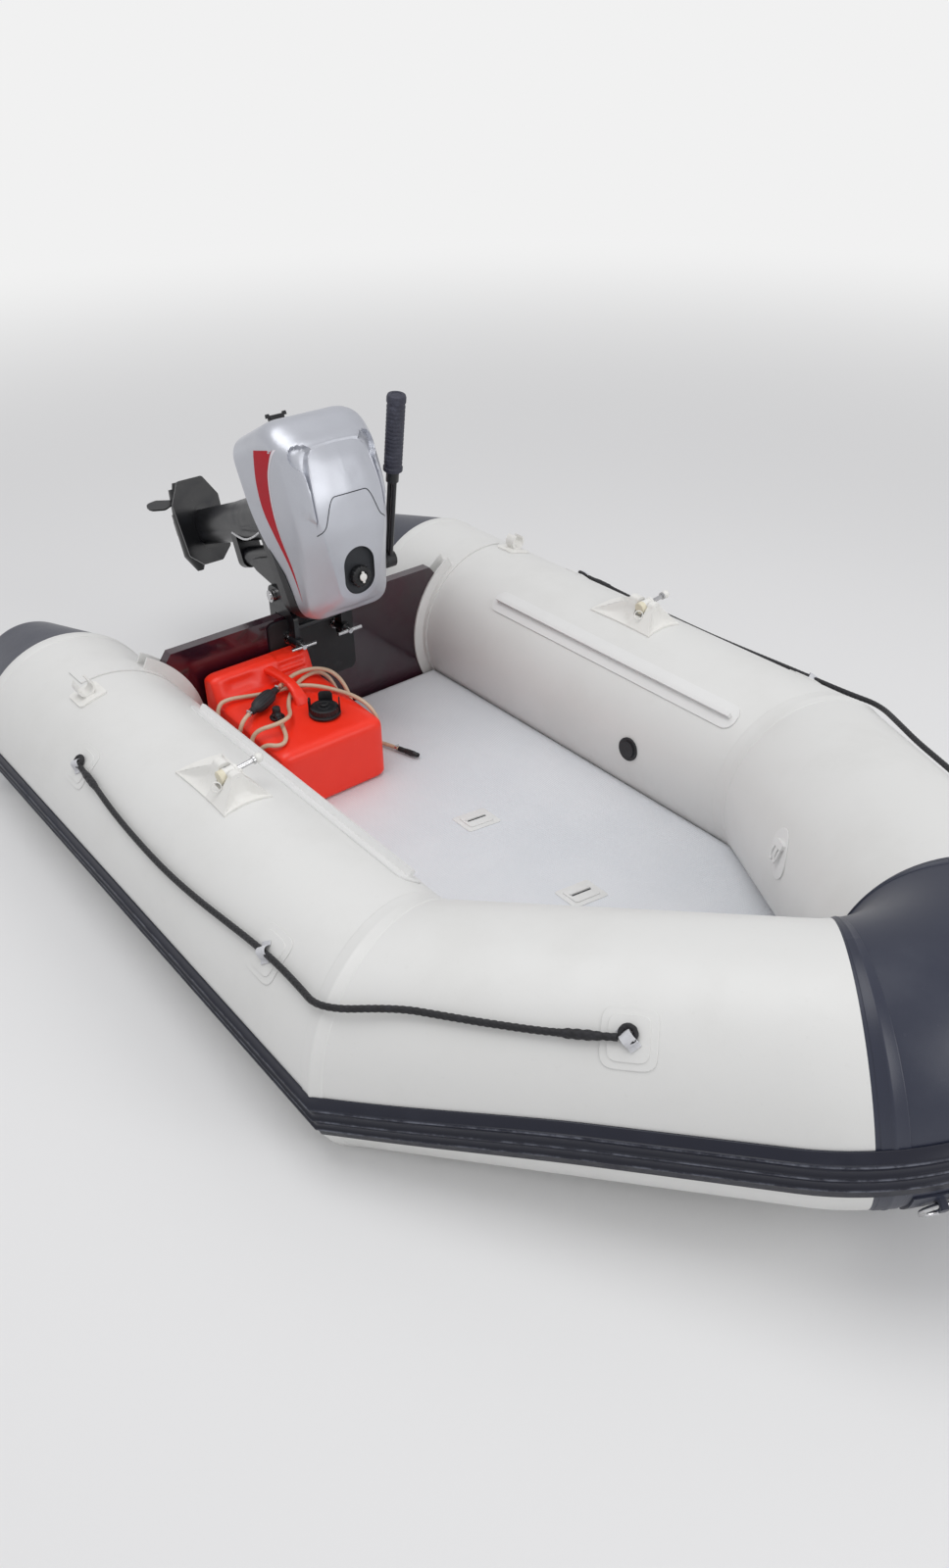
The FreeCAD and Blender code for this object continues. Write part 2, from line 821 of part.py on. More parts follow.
def tow_ring_line(side):
    """Tube directions where a tow ring sits, turned round the nose from its middle."""
    origin = nose_axis_front
    line = TubeLine(origin, Vector(0, -1, 0), bow_forward, bow_normal)
    turn = FreeCAD.Rotation(bow_normal, side * tow_ring_turn)
    offset = turn.multVec(origin - bend_centre)
    return TubeLine(bend_centre + offset, turn.multVec(line.along), turn.multVec(line.outboard), bow_normal)


def tow_patches():
    """Round patches under the strake, each with a lug for its ring."""
    pieces = []
    for side in (STARBOARD, PORT):
        middle = bend_half_angle - side * tow_ring_turn
        line = leg_line(PORT)
        inner = tube_radius + seat_gap
        skin = ring_sector(line, leg_length, inner, inner + 3, tow_ring_angle - 12, tow_ring_angle + 12)
        patch = nose_span(skin, middle, 12)
        local = tow_ring_line(side)
        lug = block_on_tube(local, 0, tow_ring_angle - 5, 13, 18, inner + 1, inner + 18)
        centre = local.around(0, inner + 9.5, tow_ring_angle - 5)
        reach = local.along * 30
        lug = lug.cut(rod(centre - reach, centre + reach, tow_ring_wire + 1.6))
        pieces.append(joined([patch, lug]))
    return Part.makeCompound(pieces)


def tow_rings():
    pieces = []
    inner = tube_radius + seat_gap
    for side in (STARBOARD, PORT):
        local = tow_ring_line(side)
        top = local.around(0, inner + 9.5, tow_ring_angle - 5)
        outward = (local.around(0, 1, tow_ring_angle - 5) - local.point(0, 0, 0)).normalize()
        down = local.along.cross(outward)
        if down.z > 0:
            down = down * -1
        pieces.append(Part.makeTorus(tow_ring_radius, tow_ring_wire, top + down * tow_ring_radius, outward))
    return Part.makeCompound(pieces)


# Patches with cord loops on the inner side of the bow legs
loop_station = 398.0
loop_angle = -68.0


def bow_loop_patches():
    pieces = []
    inner = tube_radius + seat_gap
    for side in (STARBOARD, PORT):
        line = leg_line(side)
        patch = tube_patch(line, loop_station, loop_angle, 62, 96, inner, inner + 2.2, 28)
        shapes = [patch]
        outward = (line.around(loop_station, 1, loop_angle) - line.point(loop_station, 0, 0)).normalize()
        for sign in (-1, 1):
            middle = line.around(loop_station + sign * 12, inner + 2, loop_angle)
            ring = Part.makeTorus(11, 2.6, middle, line.along)
            above = Part.Face(Part.makePolygon([
                middle + line.along * 30 + line.along.cross(outward) * 40,
                middle - line.along * 30 + line.along.cross(outward) * 40,
                middle - line.along * 30 - line.along.cross(outward) * 40,
                middle + line.along * 30 - line.along.cross(outward) * 40,
                middle + line.along * 30 + line.along.cross(outward) * 40,
            ])).extrude(outward * 40)
            shapes.append(ring.common(above))
        pieces.append(joined(shapes))
    return Part.makeCompound(pieces)


# Motor pieces are made upright about the tilt axis and then parked.
tilt_axis = Vector(tilt_axis_station, 0, transom_top + tilt_axis_rise)


def parked(shape):
    """Turn an upright motor piece to its parked tilt and bring it to the tilt axis."""
    moved = shape.copy()
    moved.rotate(Vector(0, 0, 0), Vector(0, 1, 0), parked_tilt)
    moved.translate(tilt_axis)
    return moved


def at_clamp(shape):
    """Bring a piece of the fixed clamp, made about the tilt axis, to its place."""
    moved = shape.copy()
    moved.translate(tilt_axis)
    return moved


clamp_arm_inner = 60.0
clamp_arm_thick = 13.0
clamp_screw_drop = 56.0
clamp_front_drop = 78.0
clamp_gap = 1.0
tilt_pin_radius = 9.0


def clamp_bracket():
    """Two hooked arms over the transom, tied by a cross bar."""
    front = transom_thick - tilt_axis_station
    aft = -tilt_axis_station
    top = -tilt_axis_rise + clamp_gap
    low = top - 150
    corners = [
        (aft - pad_thick - clamp_gap - 26, low, 8),
        (aft - pad_thick - clamp_gap, low, 4),
        (aft - pad_thick - clamp_gap, top, 2),
        (front + pad_thick + clamp_gap + 14, top, 2),
        (front + pad_thick + clamp_gap + 14, top - clamp_front_drop, 6),
        (front + pad_thick + clamp_gap + 44, top - clamp_front_drop, 10),
        (front + pad_thick + clamp_gap + 44, top + 8, 22),
        (26, 24, 20),
        (-24, 24, 20),
        (aft - pad_thick - clamp_gap - 26, -20, 20),
    ]
    pieces = []
    for sign in (-1, 1):
        start = sign * clamp_arm_inner if sign > 0 else -clamp_arm_inner - clamp_arm_thick
        pieces.append(slab(corners, on_xz(start), Vector(0, clamp_arm_thick, 0)))
        boss = Vector(front + pad_thick + 10, sign * (clamp_arm_inner + clamp_arm_thick / 2), top + clamp_gap - clamp_screw_drop)
        pieces.append(rod(boss + Vector(6, 0, 0), boss + Vector(44, 0, 0), 13))
    bar = rod(
        Vector(front + pad_thick + 30, -clamp_arm_inner - 2, top - 20),
        Vector(front + pad_thick + 30, clamp_arm_inner + 2, top - 20), 8,
    )
    pieces.append(bar)
    body = joined(pieces)
    hole = rod(Vector(0, -120, 0), Vector(0, 120, 0), tilt_pin_radius + pin_gap)
    body = body.cut(hole)
    for sign in (-1, 1):
        axis = Vector(0, sign * (clamp_arm_inner + clamp_arm_thick / 2), top + clamp_gap - clamp_screw_drop)
        body = body.cut(rod(axis + Vector(front, 0, 0), axis + Vector(front + 110, 0, 0), 6 + pin_gap))
    return at_clamp(body)


def clamp_screws():
    front = transom_thick - tilt_axis_station
    top = -tilt_axis_rise + clamp_gap
    pieces = []
    for sign in (-1, 1):
        axis = Vector(0, sign * (clamp_arm_inner + clamp_arm_thick / 2), top + clamp_gap - clamp_screw_drop)
        start = axis + Vector(front + pad_thick + 2 * seat_gap, 0, 0)
        screw = rod(start, start + Vector(74, 0, 0), 6)
        pad = rod(start, start + Vector(5, 0, 0), 17)
        end = start + Vector(68, 0, 0)
        handle = rod(end - Vector(0, 34, 0), end + Vector(0, 34, 0), 4.5)
        pieces.append(at_clamp(joined([screw, pad, handle])))
    return Part.makeCompound(pieces)


swivel_radius = 26.0
swivel_low = -205.0
swivel_high = 28.0
steer_shaft_radius = 14.0


def tilt_pin():
    pin = rod(Vector(0, -86, 0), Vector(0, 86, 0), tilt_pin_radius)
    for sign in (-1, 1):
        head = Vector(0, sign * (clamp_arm_inner + clamp_arm_thick + 1), 0)
        pin = pin.fuse(rod(head, head + Vector(0, sign * 10, 0), 15))
    return parked(pin)


def swivel_bracket():
    """Cross tube on the tilt pin and the upright tube that the leg steers in."""
    reach = clamp_arm_inner - 6
    cross = rod(Vector(0, -reach, 0), Vector(0, reach, 0), 18)
    upright = rod(Vector(-steer_axis_back, 0, swivel_low), Vector(-steer_axis_back, 0, swivel_high), swivel_radius)
    web = [
        (6, -14, 6),
        (6, 16, 6),
        (-steer_axis_back, 26, 8),
        (-steer_axis_back, -150, 8),
        (-steer_axis_back + 30, -120, 20),
    ]
    plates = [slab(web, on_xz(start), Vector(0, 12, 0)) for start in (-42, 30)]
    deck = slab([(4, 8, 0), (4, 16, 3), (-steer_axis_back, 26, 0), (-steer_axis_back, 16, 0)], on_xz(-42), Vector(0, 84, 0))
    body = joined([cross, upright, deck] + plates)
    bore = rod(Vector(-steer_axis_back, 0, swivel_low - 5), Vector(-steer_axis_back, 0, swivel_high + 5), steer_shaft_radius + pin_gap)
    pin_bore = rod(Vector(0, -120, 0), Vector(0, 120, 0), tilt_pin_radius + pin_gap)
    return parked(body.cut(bore).cut(pin_bore))


# The leg's sections: height, front, back, half width
LEG_SECTIONS = (
    (-20.0, -122.0, -238.0, 34.0),
    (-220.0, -124.0, -226.0, 27.0),
    (-452.0, -128.0, -222.0, 20.0),
)
leg_yoke_thick = 30.0


def leaf_wire(front, back, half, height):
    """A streamlined section made of four arcs."""
    widest = front + (back - front) * 0.38
    nose = Vector(front, 0, height)
    tail = Vector(back, 0, height)
    port = Vector(widest, half, height)
    starboard = Vector(widest, -half, height)
    fore = 0.72
    edges = []
    for near, far, sign in ((nose, port, 1), (tail, port, 1), (tail, starboard, -1), (nose, starboard, -1)):
        middle = Vector(near.x + (far.x - near.x) * (1 - fore), sign * half * fore, height)
        edges.append(Part.Arc(near, middle, far).toShape())
    return Part.Wire(Part.sortEdges(edges)[0])


def drive_leg():
    """Steering shaft with its yokes, and the leg that carries the gearcase."""
    wires = [leaf_wire(front, back, half, height) for height, front, back, half in LEG_SECTIONS]
    leg = Part.makeLoft(wires, True, True)
    shaft = rod(
        Vector(-steer_axis_back, 0, swivel_low - leg_yoke_thick),
        Vector(-steer_axis_back, 0, swivel_high + leg_yoke_thick), steer_shaft_radius,
    )
    upper = rounded_box((-232, -44, swivel_high + 2), (-52, 44, swivel_high + leg_yoke_thick), 24)
    neck = rounded_box((-232, -38, -24), (-118, 38, swivel_high + leg_yoke_thick), 16)
    lower = rounded_box((-160, -30, swivel_low - leg_yoke_thick), (-58, 30, swivel_low - 2), 22)
    return parked(joined([leg, shaft, neck, upper, lower]))


# Lower unit
plate_height = -460.0
plate_thick = 7.0
propeller_drop = 560.0
torpedo_radius = 33.0
skeg_tip = 640.0
propeller_radius = 95.0
propeller_back = 222.0
hub_length = 66.0


# Starboard half of the plate over the propeller: x, half width, corner radius
PLATE_OUTLINE = (
    (-78.0, 28.0, 8.0),
    (-110.0, 62.0, 10.0),
    (-250.0, 68.0, 12.0),
    (-306.0, 36.0, 10.0),
)


def gearcase():
    """Plate, strut, torpedo and skeg under the leg."""
    corners = [(x, -half, radius) for x, half, radius in PLATE_OUTLINE]
    corners += [(x, half, radius) for x, half, radius in reversed(PLATE_OUTLINE)]
    plate = slab(corners, on_xy(plate_height), Vector(0, 0, plate_thick))
    upper = leaf_wire(-112, -226, 21, plate_height)
    lower = leaf_wire(-100, -214, 23, -propeller_drop)
    strut = Part.makeLoft([upper, lower], True, True)
    back = -propeller_back
    torpedo = rod(Vector(back, 0, -propeller_drop), Vector(-104, 0, -propeller_drop), torpedo_radius)
    nose = Part.makeCone(torpedo_radius, 9, 46, Vector(-104, 0, -propeller_drop), Vector(1, 0, 0))
    skeg = slab(
        [(-108, -propeller_drop, 0), (-196, -propeller_drop, 0), (-206, -skeg_tip, 8), (-160, -skeg_tip, 8)],
        on_xz(-4), Vector(0, 8, 0),
    )
    top = leaf_wire(-112, -236, 24, plate_height + plate_thick - 1)
    collar = Part.Face(top).extrude(Vector(0, 0, 7.7 - plate_thick + 1))
    return parked(joined([plate, strut, torpedo, nose, skeg, collar]))


def propeller():
    """Three-bladed screw on a tapering hub."""
    start = Vector(-propeller_back - seat_gap, 0, -propeller_drop)
    hub = Part.makeCone(30, 22, hub_length, start, Vector(-1, 0, 0))
    nut = Part.makeCone(12, 7, 16, start - Vector(hub_length - 1, 0, 0), Vector(-1, 0, 0))
    pieces = [hub, nut]
    middle = start.x - hub_length / 2
    blade_outline = [(-9, 20, 0), (9, 20, 0), (30, 58, 14), (16, propeller_radius, 18), (-20, propeller_radius, 22), (-28, 58, 14)]
    for index in range(3):
        blade = slab(blade_outline, on_xz(-2.2), Vector(0, 4.4, 0))
        blade.rotate(Vector(0, 0, 0), Vector(0, 0, 1), 62)
        blade.translate(Vector(middle, 0, 0))
        blade.rotate(Vector(middle, 0, 0), Vector(1, 0, 0), 120 * index + 90)
        blade.translate(Vector(0, 0, -propeller_drop))
        pieces.append(blade)
    return parked(joined(pieces))


# Sections of the motor's housing: height, front, back, half width at the front and at the back
HOUSING_SECTIONS = (
    (swivel_high + leg_yoke_thick + seat_gap, 26.0, -300.0, 74.0, 88.0),
    (100.0, 50.0, -356.0, 100.0, 126.0),
    (142.0, 58.0, -378.0, 106.0, 134.0),
    (250.0, 60.0, -388.0, 106.0, 130.0),
    (316.0, 36.0, -362.0, 86.0, 108.0),
    (352.0, 0.0, -318.0, 60.0, 78.0),
)
cowl_wall = 3.0
cowl_top_front = 300.0
cowl_top_tilt = 15.5
cowl_crown_height = 350.0
cowl_brow_station = 4.0
cowl_brow_tilt = 32.0
# Parting line between pan and cowl, seen from the side: x, height, radius
PARTING_LINE = (
    (-430.0, 112.0, 0.0),
    (-176.0, 106.0, 60.0),
    (-56.0, 168.0, 60.0),
    (110.0, 190.0, 0.0),
)
recess_front = 20.0
recess_back = -92.0
recess_half = 37.0
recess_depth = 7.0
recess_tool_height = 60.0
block_front = -10.0
block_back = -300.0
block_half = 78.0
block_low = 80.0
block_height = 262.0
block_corner = 20.0
fuel_cap_station = -20.0
fuel_cap_radius = 23.0
fuel_cap_height = 17.0
fuel_cap_knob_radius = 8.0
fuel_cap_knob_height = 5.0


def shell_wire(height, front, back, front_half, back_half, inset):
    corners = [
        (front - inset, -front_half + inset, 44 - inset),
        (front - inset, front_half - inset, 44 - inset),
        (back + inset, back_half - inset, 60 - inset),
        (back + inset, -back_half + inset, 60 - inset),
    ]
    return arc_or_line_wire(corners, on_xy(height))


def below_parting(lift):
    """Everything under the parting line, raised by a lift."""
    corners = [(x, height + lift, radius) for x, height, radius in PARTING_LINE]
    corners += [(110.0, -40.0, 0), (-430.0, -40.0, 0)]
    return slab(corners, on_xz(-200), Vector(0, 400, 0))


def plane_top(x):
    """Height of the cowl's sloping top over a place along it."""
    return cowl_top_front - (x + 15.0) * math.tan(math.radians(cowl_top_tilt))


def housing(inset, drop):
    """The whole housing, set in by a wall, with its crown, sloping top and brow dropped."""
    body = Part.makeLoft([shell_wire(*row, inset) for row in HOUSING_SECTIONS], True, True)
    body = body.cut(half_space(Vector(0, 0, cowl_crown_height - drop), Vector(0, 0, 1)))
    for tilt in (cowl_top_tilt, cowl_brow_tilt):
        turn = math.radians(tilt)
        point = Vector(cowl_brow_station, 0, plane_top(cowl_brow_station) - drop)
        body = body.cut(half_space(point, Vector(math.sin(turn), 0, math.cos(turn))))
    return body


def lower_pan():
    return parked(housing(0, 0).common(below_parting(0)))


def engine_cowl():
    """Shell over the engine, open underneath, with an oval recess for the cap."""
    outer = housing(0, 0).cut(below_parting(seat_gap))
    inner = housing(cowl_wall, cowl_wall + recess_depth).cut(below_parting(-1))
    length = recess_front - recess_back
    corners = [
        (-length / 2, -recess_half, recess_half - 1),
        (length / 2, -recess_half, recess_half - 1),
        (length / 2, recess_half, recess_half - 1),
        (-length / 2, recess_half, recess_half - 1),
    ]
    recess = slab(corners, on_xy(0), Vector(0, 0, recess_tool_height))
    recess.rotate(Vector(0, 0, 0), Vector(0, 1, 0), cowl_top_tilt)
    middle = (recess_front + recess_back) / 2
    recess.translate(Vector(middle, 0, plane_top(middle) - recess_depth))
    return parked(outer.cut(inner).cut(recess))


def engine_block():
    low = (block_back, -block_half, block_low)
    block = rounded_box(low, (block_front, block_half, block_height), block_corner)
    return parked(block.cut(below_parting(2 * seat_gap)))


def fuel_cap():
    """Cap in the recess, square to the sloping top."""
    knob_top = Vector(0, 0, fuel_cap_height + fuel_cap_knob_height)
    cap = joined([
        rod(Vector(0, 0, 0), Vector(0, 0, fuel_cap_height), fuel_cap_radius),
        rod(Vector(0, 0, fuel_cap_height - 1), knob_top, fuel_cap_knob_radius),
    ])
    cap.rotate(Vector(0, 0, 0), Vector(0, 1, 0), cowl_top_tilt)
    turn = math.radians(cowl_top_tilt)
    lift = recess_depth - seat_gap
    upward = Vector(math.sin(turn), 0, math.cos(turn))
    foot = Vector(fuel_cap_station, 0, plane_top(fuel_cap_station)) - upward * lift
    cap.translate(foot)
    return parked(cap)


def cowl_latch():
    """Latch on the aft face, across the parting line."""
    x, height = PARTING_LINE[0][0], PARTING_LINE[0][1] + 2
    body = rounded_box((x + 20, -24, height - 16), (x + 62, 24, height + 26), 6)
    shape = housing(-seat_gap, -seat_gap)
    return parked(body.cut(shape))


# Tiller, folded back along the port side of the cowl
tiller_pivot = Vector(-20, 160, 175)
tiller_fold_angle = 150.0
tiller_length = 412.0
tiller_grip_length = 180.0
tiller_grip_radius = 19.0
tiller_rod_radius = 6.0
tiller_rod_spacing = 16.0


def tiller_bracket():
    arm = rod(Vector(-20, 96, 110), Vector(-20, 140, 160), 12)
    ear = rod(tiller_pivot - Vector(0, 38, 0), tiller_pivot - Vector(0, 14, 0), 20)
    return parked(joined([arm, ear]).cut(housing(-seat_gap, -seat_gap)))


def tiller_arm():
    """Eye, two parallel rods and the collar that the grip turns on."""
    turn = math.radians(tiller_fold_angle)
    along = Vector(math.cos(turn), 0, math.sin(turn))
    across = Vector(-math.sin(turn), 0, math.cos(turn))
    length = tiller_length - tiller_grip_length
    eye = rod(tiller_pivot - Vector(0, 13, 0), tiller_pivot + Vector(0, 13, 0), 20)
    end = tiller_pivot + along * length
    pieces = [eye, rod(end - along * 26, end, tiller_grip_radius - 4)]
    for sign in (-1, 1):
        offset = across * (sign * tiller_rod_spacing / 2)
        pieces.append(rod(tiller_pivot + offset, end - along * 8 + offset, tiller_rod_radius))
    return parked(joined(pieces))


def tiller_grip():
    turn = math.radians(tiller_fold_angle)
    along = Vector(math.cos(turn), 0, math.sin(turn))
    start = tiller_pivot + along * (tiller_length - tiller_grip_length + seat_gap)
    grip = rod(start, tiller_pivot + along * tiller_length, tiller_grip_radius)
    return parked(grip)


# Fuel tank on the deck: a low part with the cap, a raised end and a bar handle between them
tank_aft = 50.0
tank_length = 345.0
tank_port = -45.0
tank_width = 266.0
tank_front_height = 153.0
tank_foot_height = 166.0
tank_raised_height = 204.0
tank_raised_depth = 38.0
tank_step_run = 18.0
tank_upright_radius = 32.0
tank_edge_radius = 12.0
tank_base = deck_top + seat_gap
tank_front = tank_aft + tank_length
tank_middle = tank_port - tank_width / 2
tank_flute_radius = 4.5
tank_flute_margin = 34.0
handle_width = 22.0
handle_thick = 12.0
handle_turn = 4.0
handle_offset = 15.0
handle_flat = 96.0
handle_slope = 52.0


def is_sharp(body, edge):
    """True where two faces of a body meet at a clear angle."""
    faces = body.ancestorsOfType(edge, Part.Face)
    if len(faces) != 2:
        return False
    middle = edge.valueAt((edge.FirstParameter + edge.LastParameter) / 2)
    normals = [face.normalAt(*face.Surface.parameter(middle)) for face in faces]
    return normals[0].getAngle(normals[1]) > 0.6


def tank_shell():
    """The moulded body without its handle, all edges rounded."""
    front_top = tank_base + tank_front_height
    foot = tank_base + tank_foot_height
    top = tank_base + tank_raised_height
    raised_front = tank_aft + tank_raised_depth
    profile = [
        (tank_aft, tank_base, 14),
        (tank_front, tank_base, 14),
        (tank_front, front_top, 26),
        (raised_front + tank_step_run, foot, 8),
        (raised_front, top, 12),
        (tank_aft, top, 16),
    ]
    low_y = tank_port - tank_width
    body = slab(profile, on_xz(low_y), Vector(0, tank_width, 0))
    plan_low = (tank_aft, low_y, tank_base - 1)
    plan_high = (tank_front, tank_port, top + 1)
    body = body.common(rounded_box(plan_low, plan_high, tank_upright_radius))
    upright = tank_front_height / 3
    rims = [edge for edge in body.Edges if edge.BoundBox.ZLength < upright and is_sharp(body, edge)]
    return body.makeFillet(tank_edge_radius, rims)


def tank_flutes():
    """Two rounded flutes across the raised end's face on each side of the handle."""
    top = tank_base + tank_raised_height
    drop = tank_raised_height - tank_foot_height
    raised_front = tank_aft + tank_raised_depth
    grooves = []
    for share in (0.36, 0.68):
        x = raised_front + tank_step_run * share + 1.5
        z = top - drop * share + 1.5
        spans = (
            (tank_port - tank_width + tank_flute_margin, tank_middle - 4),
            (tank_middle + 34, tank_port - tank_flute_margin + 8),
        )
        for low, high in spans:
            grooves.append(rod(Vector(x, low, z), Vector(x, high, z), tank_flute_radius))
            grooves.append(Part.makeSphere(tank_flute_radius, Vector(x, low, z)))
            grooves.append(Part.makeSphere(tank_flute_radius, Vector(x, high, z)))
    return grooves


def tank_handle():
    """Bar from the raised end down to the low part beside the cap, with room for fingers."""
    top = tank_base + tank_raised_height
    under = top - handle_thick
    foot = tank_base + tank_foot_height - 8
    end = handle_flat + handle_slope
    corners = [
        (-16, under, 0),
        (handle_flat - 4, under, 14),
        (end - 22, foot, 0),
        (end + 14, foot, 0),
        (handle_flat + 4, top - 1, 22),
        (-16, top - 1, 0),
    ]
    bar = slab(corners, on_xz(-handle_width / 2), Vector(0, handle_width, 0))
    root_low = (end - 20, -handle_width, foot)
    root_high = (end + 20, handle_width, foot + 13)
    bar = bar.fuse(rounded_box(root_low, root_high, 12))
    bar.rotate(Vector(0, 0, 0), Vector(0, 0, 1), handle_turn)
    bar.translate(Vector(tank_aft + tank_raised_depth + 2, tank_middle + handle_offset, 0))
    return bar


def fuel_tank():
    body = tank_shell()
    for groove in tank_flutes():
        body = body.cut(groove)
    return joined([body, tank_handle()])


# Cap of the tank, with three guard ears
cap_station = 298.0
cap_port = -140.0
cap_radius = 34.0
cap_height = 20.0
ear_height = 22.0
EARS = (
    # heading in degrees, width in degrees
    (142.0, 54.0),
    (222.0, 20.0),
    (62.0, 20.0),
)


def tank_top_height(station):
    """Height of the tank's low top at a station."""
    foot_x = tank_aft + tank_raised_depth + tank_step_run
    share = (station - foot_x) / (tank_front - foot_x)
    return tank_base + tank_foot_height + (tank_front_height - tank_foot_height) * share


def tank_cap():
    seat = tank_top_height(cap_station - cap_radius) + seat_gap
    start = Vector(cap_station, cap_port, seat)
    up = Vector(0, 0, 1)
    pieces = [
        Part.makeCylinder(cap_radius + 3, 6, start, up),
        Part.makeCylinder(cap_radius, cap_height, start, up),
        Part.makeCylinder(9, 6, start + up * cap_height, up),
    ]
    for heading, width in EARS:
        outer = Part.makeCylinder(cap_radius, cap_height + ear_height, start, up, width)
        inner = Part.makeCylinder(cap_radius - 6, cap_height + ear_height + 1, start - up, up)
        ear = outer.cut(inner)
        ear.rotate(start, up, heading - width / 2)
        pieces.append(ear)
    return joined(pieces)


# Hose: from the pickup round the tank to the bulb, and from the bulb to the connector
hose_radius = 5.0
# x, y, z
HOSE_ROUTE = (
    (282.0, -247.0, 291.0),
    (310.0, -256.0, 289.0),
    (337.0, -266.0, 285.5),
    (355.0, -282.0, 283.0),
    (356.0, -301.0, 284.0),
    (336.0, -316.0, 284.0),
    (312.0, -325.0, 262.0),
    (302.0, -328.0, 222.0),
    (296.0, -333.0, 180.0),
    (272.0, -335.0, 146.0),
    (230.0, -335.0, 138.0),
    (190.0, -335.0, 142.0),
    (156.0, -334.0, 165.0),
    (140.0, -331.0, 212.0),
    (131.0, -329.0, 260.0),
    (124.0, -318.0, 294.0),
    (124.0, -290.0, 298.0),
    (132.0, -248.0, 293.0),
    (146.0, -208.0, 291.5),
    (160.0, -176.0, 295.0),
    (174.0, -144.0, 301.5),
    (198.0, -104.0, 299.0),
    (238.0, -68.0, 290.0),
    (288.0, -50.0, 288.5),
    (330.0, -38.0, 277.0),
    (350.0, -28.0, 242.0),
    (341.0, -26.0, 200.0),
    (310.0, -26.0, 170.0),
    (270.0, -26.0, 174.0),
    (242.0, -26.0, 210.0),
    (230.0, -27.0, 254.0),
    (212.0, -33.0, 290.0),
    (184.0, -44.0, 310.0),
    (154.0, -64.0, 313.0),
    (134.0, -92.0, 308.0),
    (130.0, -122.0, 303.0),
    (144.0, -144.0, 303.0),
    (158.0, -166.0, 307.0),
    (170.0, -190.0, 306.0),
)
OUTLET_ROUTE = (
    (218.0, -286.0, 302.0),
    (230.0, -310.0, 301.0),
    (235.0, -325.0, 283.0),
    (225.0, -328.0, 252.0),
    (214.0, -328.0, 216.0),
    (228.0, -328.0, 184.0),
    (260.0, -328.0, 176.0),
    (286.0, -328.0, 200.0),
    (284.0, -328.0, 240.0),
    (281.0, -325.0, 276.0),
    (291.0, -309.0, 299.0),
    (308.0, -276.0, 306.0),
    (302.0, -240.0, 306.0),
    (272.0, -214.0, 295.0),
    (232.0, -196.0, 288.5),
    (194.0, -172.0, 288.0),
    (164.0, -140.0, 289.0),
    (142.0, -107.0, 291.0),
    (132.0, -74.0, 292.0),
    (141.0, -52.0, 293.0),
    (157.0, -36.0, 280.0),
    (174.0, -26.0, 242.0),
    (190.0, -18.0, 196.0),
    (212.0, -8.0, 150.0),
    (248.0, 6.0, 129.0),
    (292.0, 20.0, 130.8),
    (336.0, 34.0, 130.8),
)
pickup_reach = 38.0
bulb_radius = 18.0
bulb_neck = 8.0
bulb_neck_length = 14.0
connector_length = 58.0
connector_radius = 10.0


def route_end(route, index, near):
    """End point of a route and the unit vector that points out of it."""
    end = Vector(*route[index])
    return end, (end - Vector(*route[near])).normalize()


def tank_pickup():
    """Fitting on the tank with an elbow that the hose is pushed on."""
    end, out = route_end(HOSE_ROUTE, 0, 1)
    elbow = end + out * pickup_reach
    seat = tank_top_height(elbow.x - 17) + seat_gap
    foot = Vector(elbow.x, elbow.y, seat)
    pieces = [
        rod(foot, foot + Vector(0, 0, 5), 17),
        rod(foot, Vector(elbow.x, elbow.y, elbow.z + 16), 9.5),
        rod(elbow, end, hose_radius),
        rod(elbow, end + out * 20, hose_radius + 2),
    ]
    return joined(pieces)


def primer_bulb():
    """Squeeze bulb between the two hoses, with a neck at each end."""
    start = Vector(*HOSE_ROUTE[-1])
    stop = Vector(*OUTLET_ROUTE[0])
    axis = stop - start
    length = axis.Length
    corners = [
        (0, 0, 0),
        (0, bulb_neck, 0),
        (bulb_neck_length, bulb_neck, 0),
        (bulb_neck_length + 20, bulb_radius, 18),
        (length - bulb_neck_length - 20, bulb_radius, 18),
        (length - bulb_neck_length, bulb_neck, 0),
        (length, bulb_neck, 0),
        (length, 0, 0),
    ]
    wire = arc_or_line_wire(corners, on_xz(0))
    body = Part.Face(wire).revolve(Vector(0, 0, 0), Vector(1, 0, 0), 360)
    body.Placement = FreeCAD.Placement(start, FreeCAD.Rotation(Vector(1, 0, 0), axis))
    return body


def hose_connector():
    """Quick connector at the hose's end, lying on the deck."""
    end, out = route_end(OUTLET_ROUTE, -1, -2)
    flat = Vector(out.x, out.y, 0).normalize()
    pieces = [
        rod(end, end + flat * 22, hose_radius + 1.5),
        rod(end + flat * 10, end + flat * connector_length, connector_radius * 0.66),
        rod(end + flat * 24, end + flat * (connector_length - 12), connector_radius * 0.66),
    ]
    return joined(pieces)


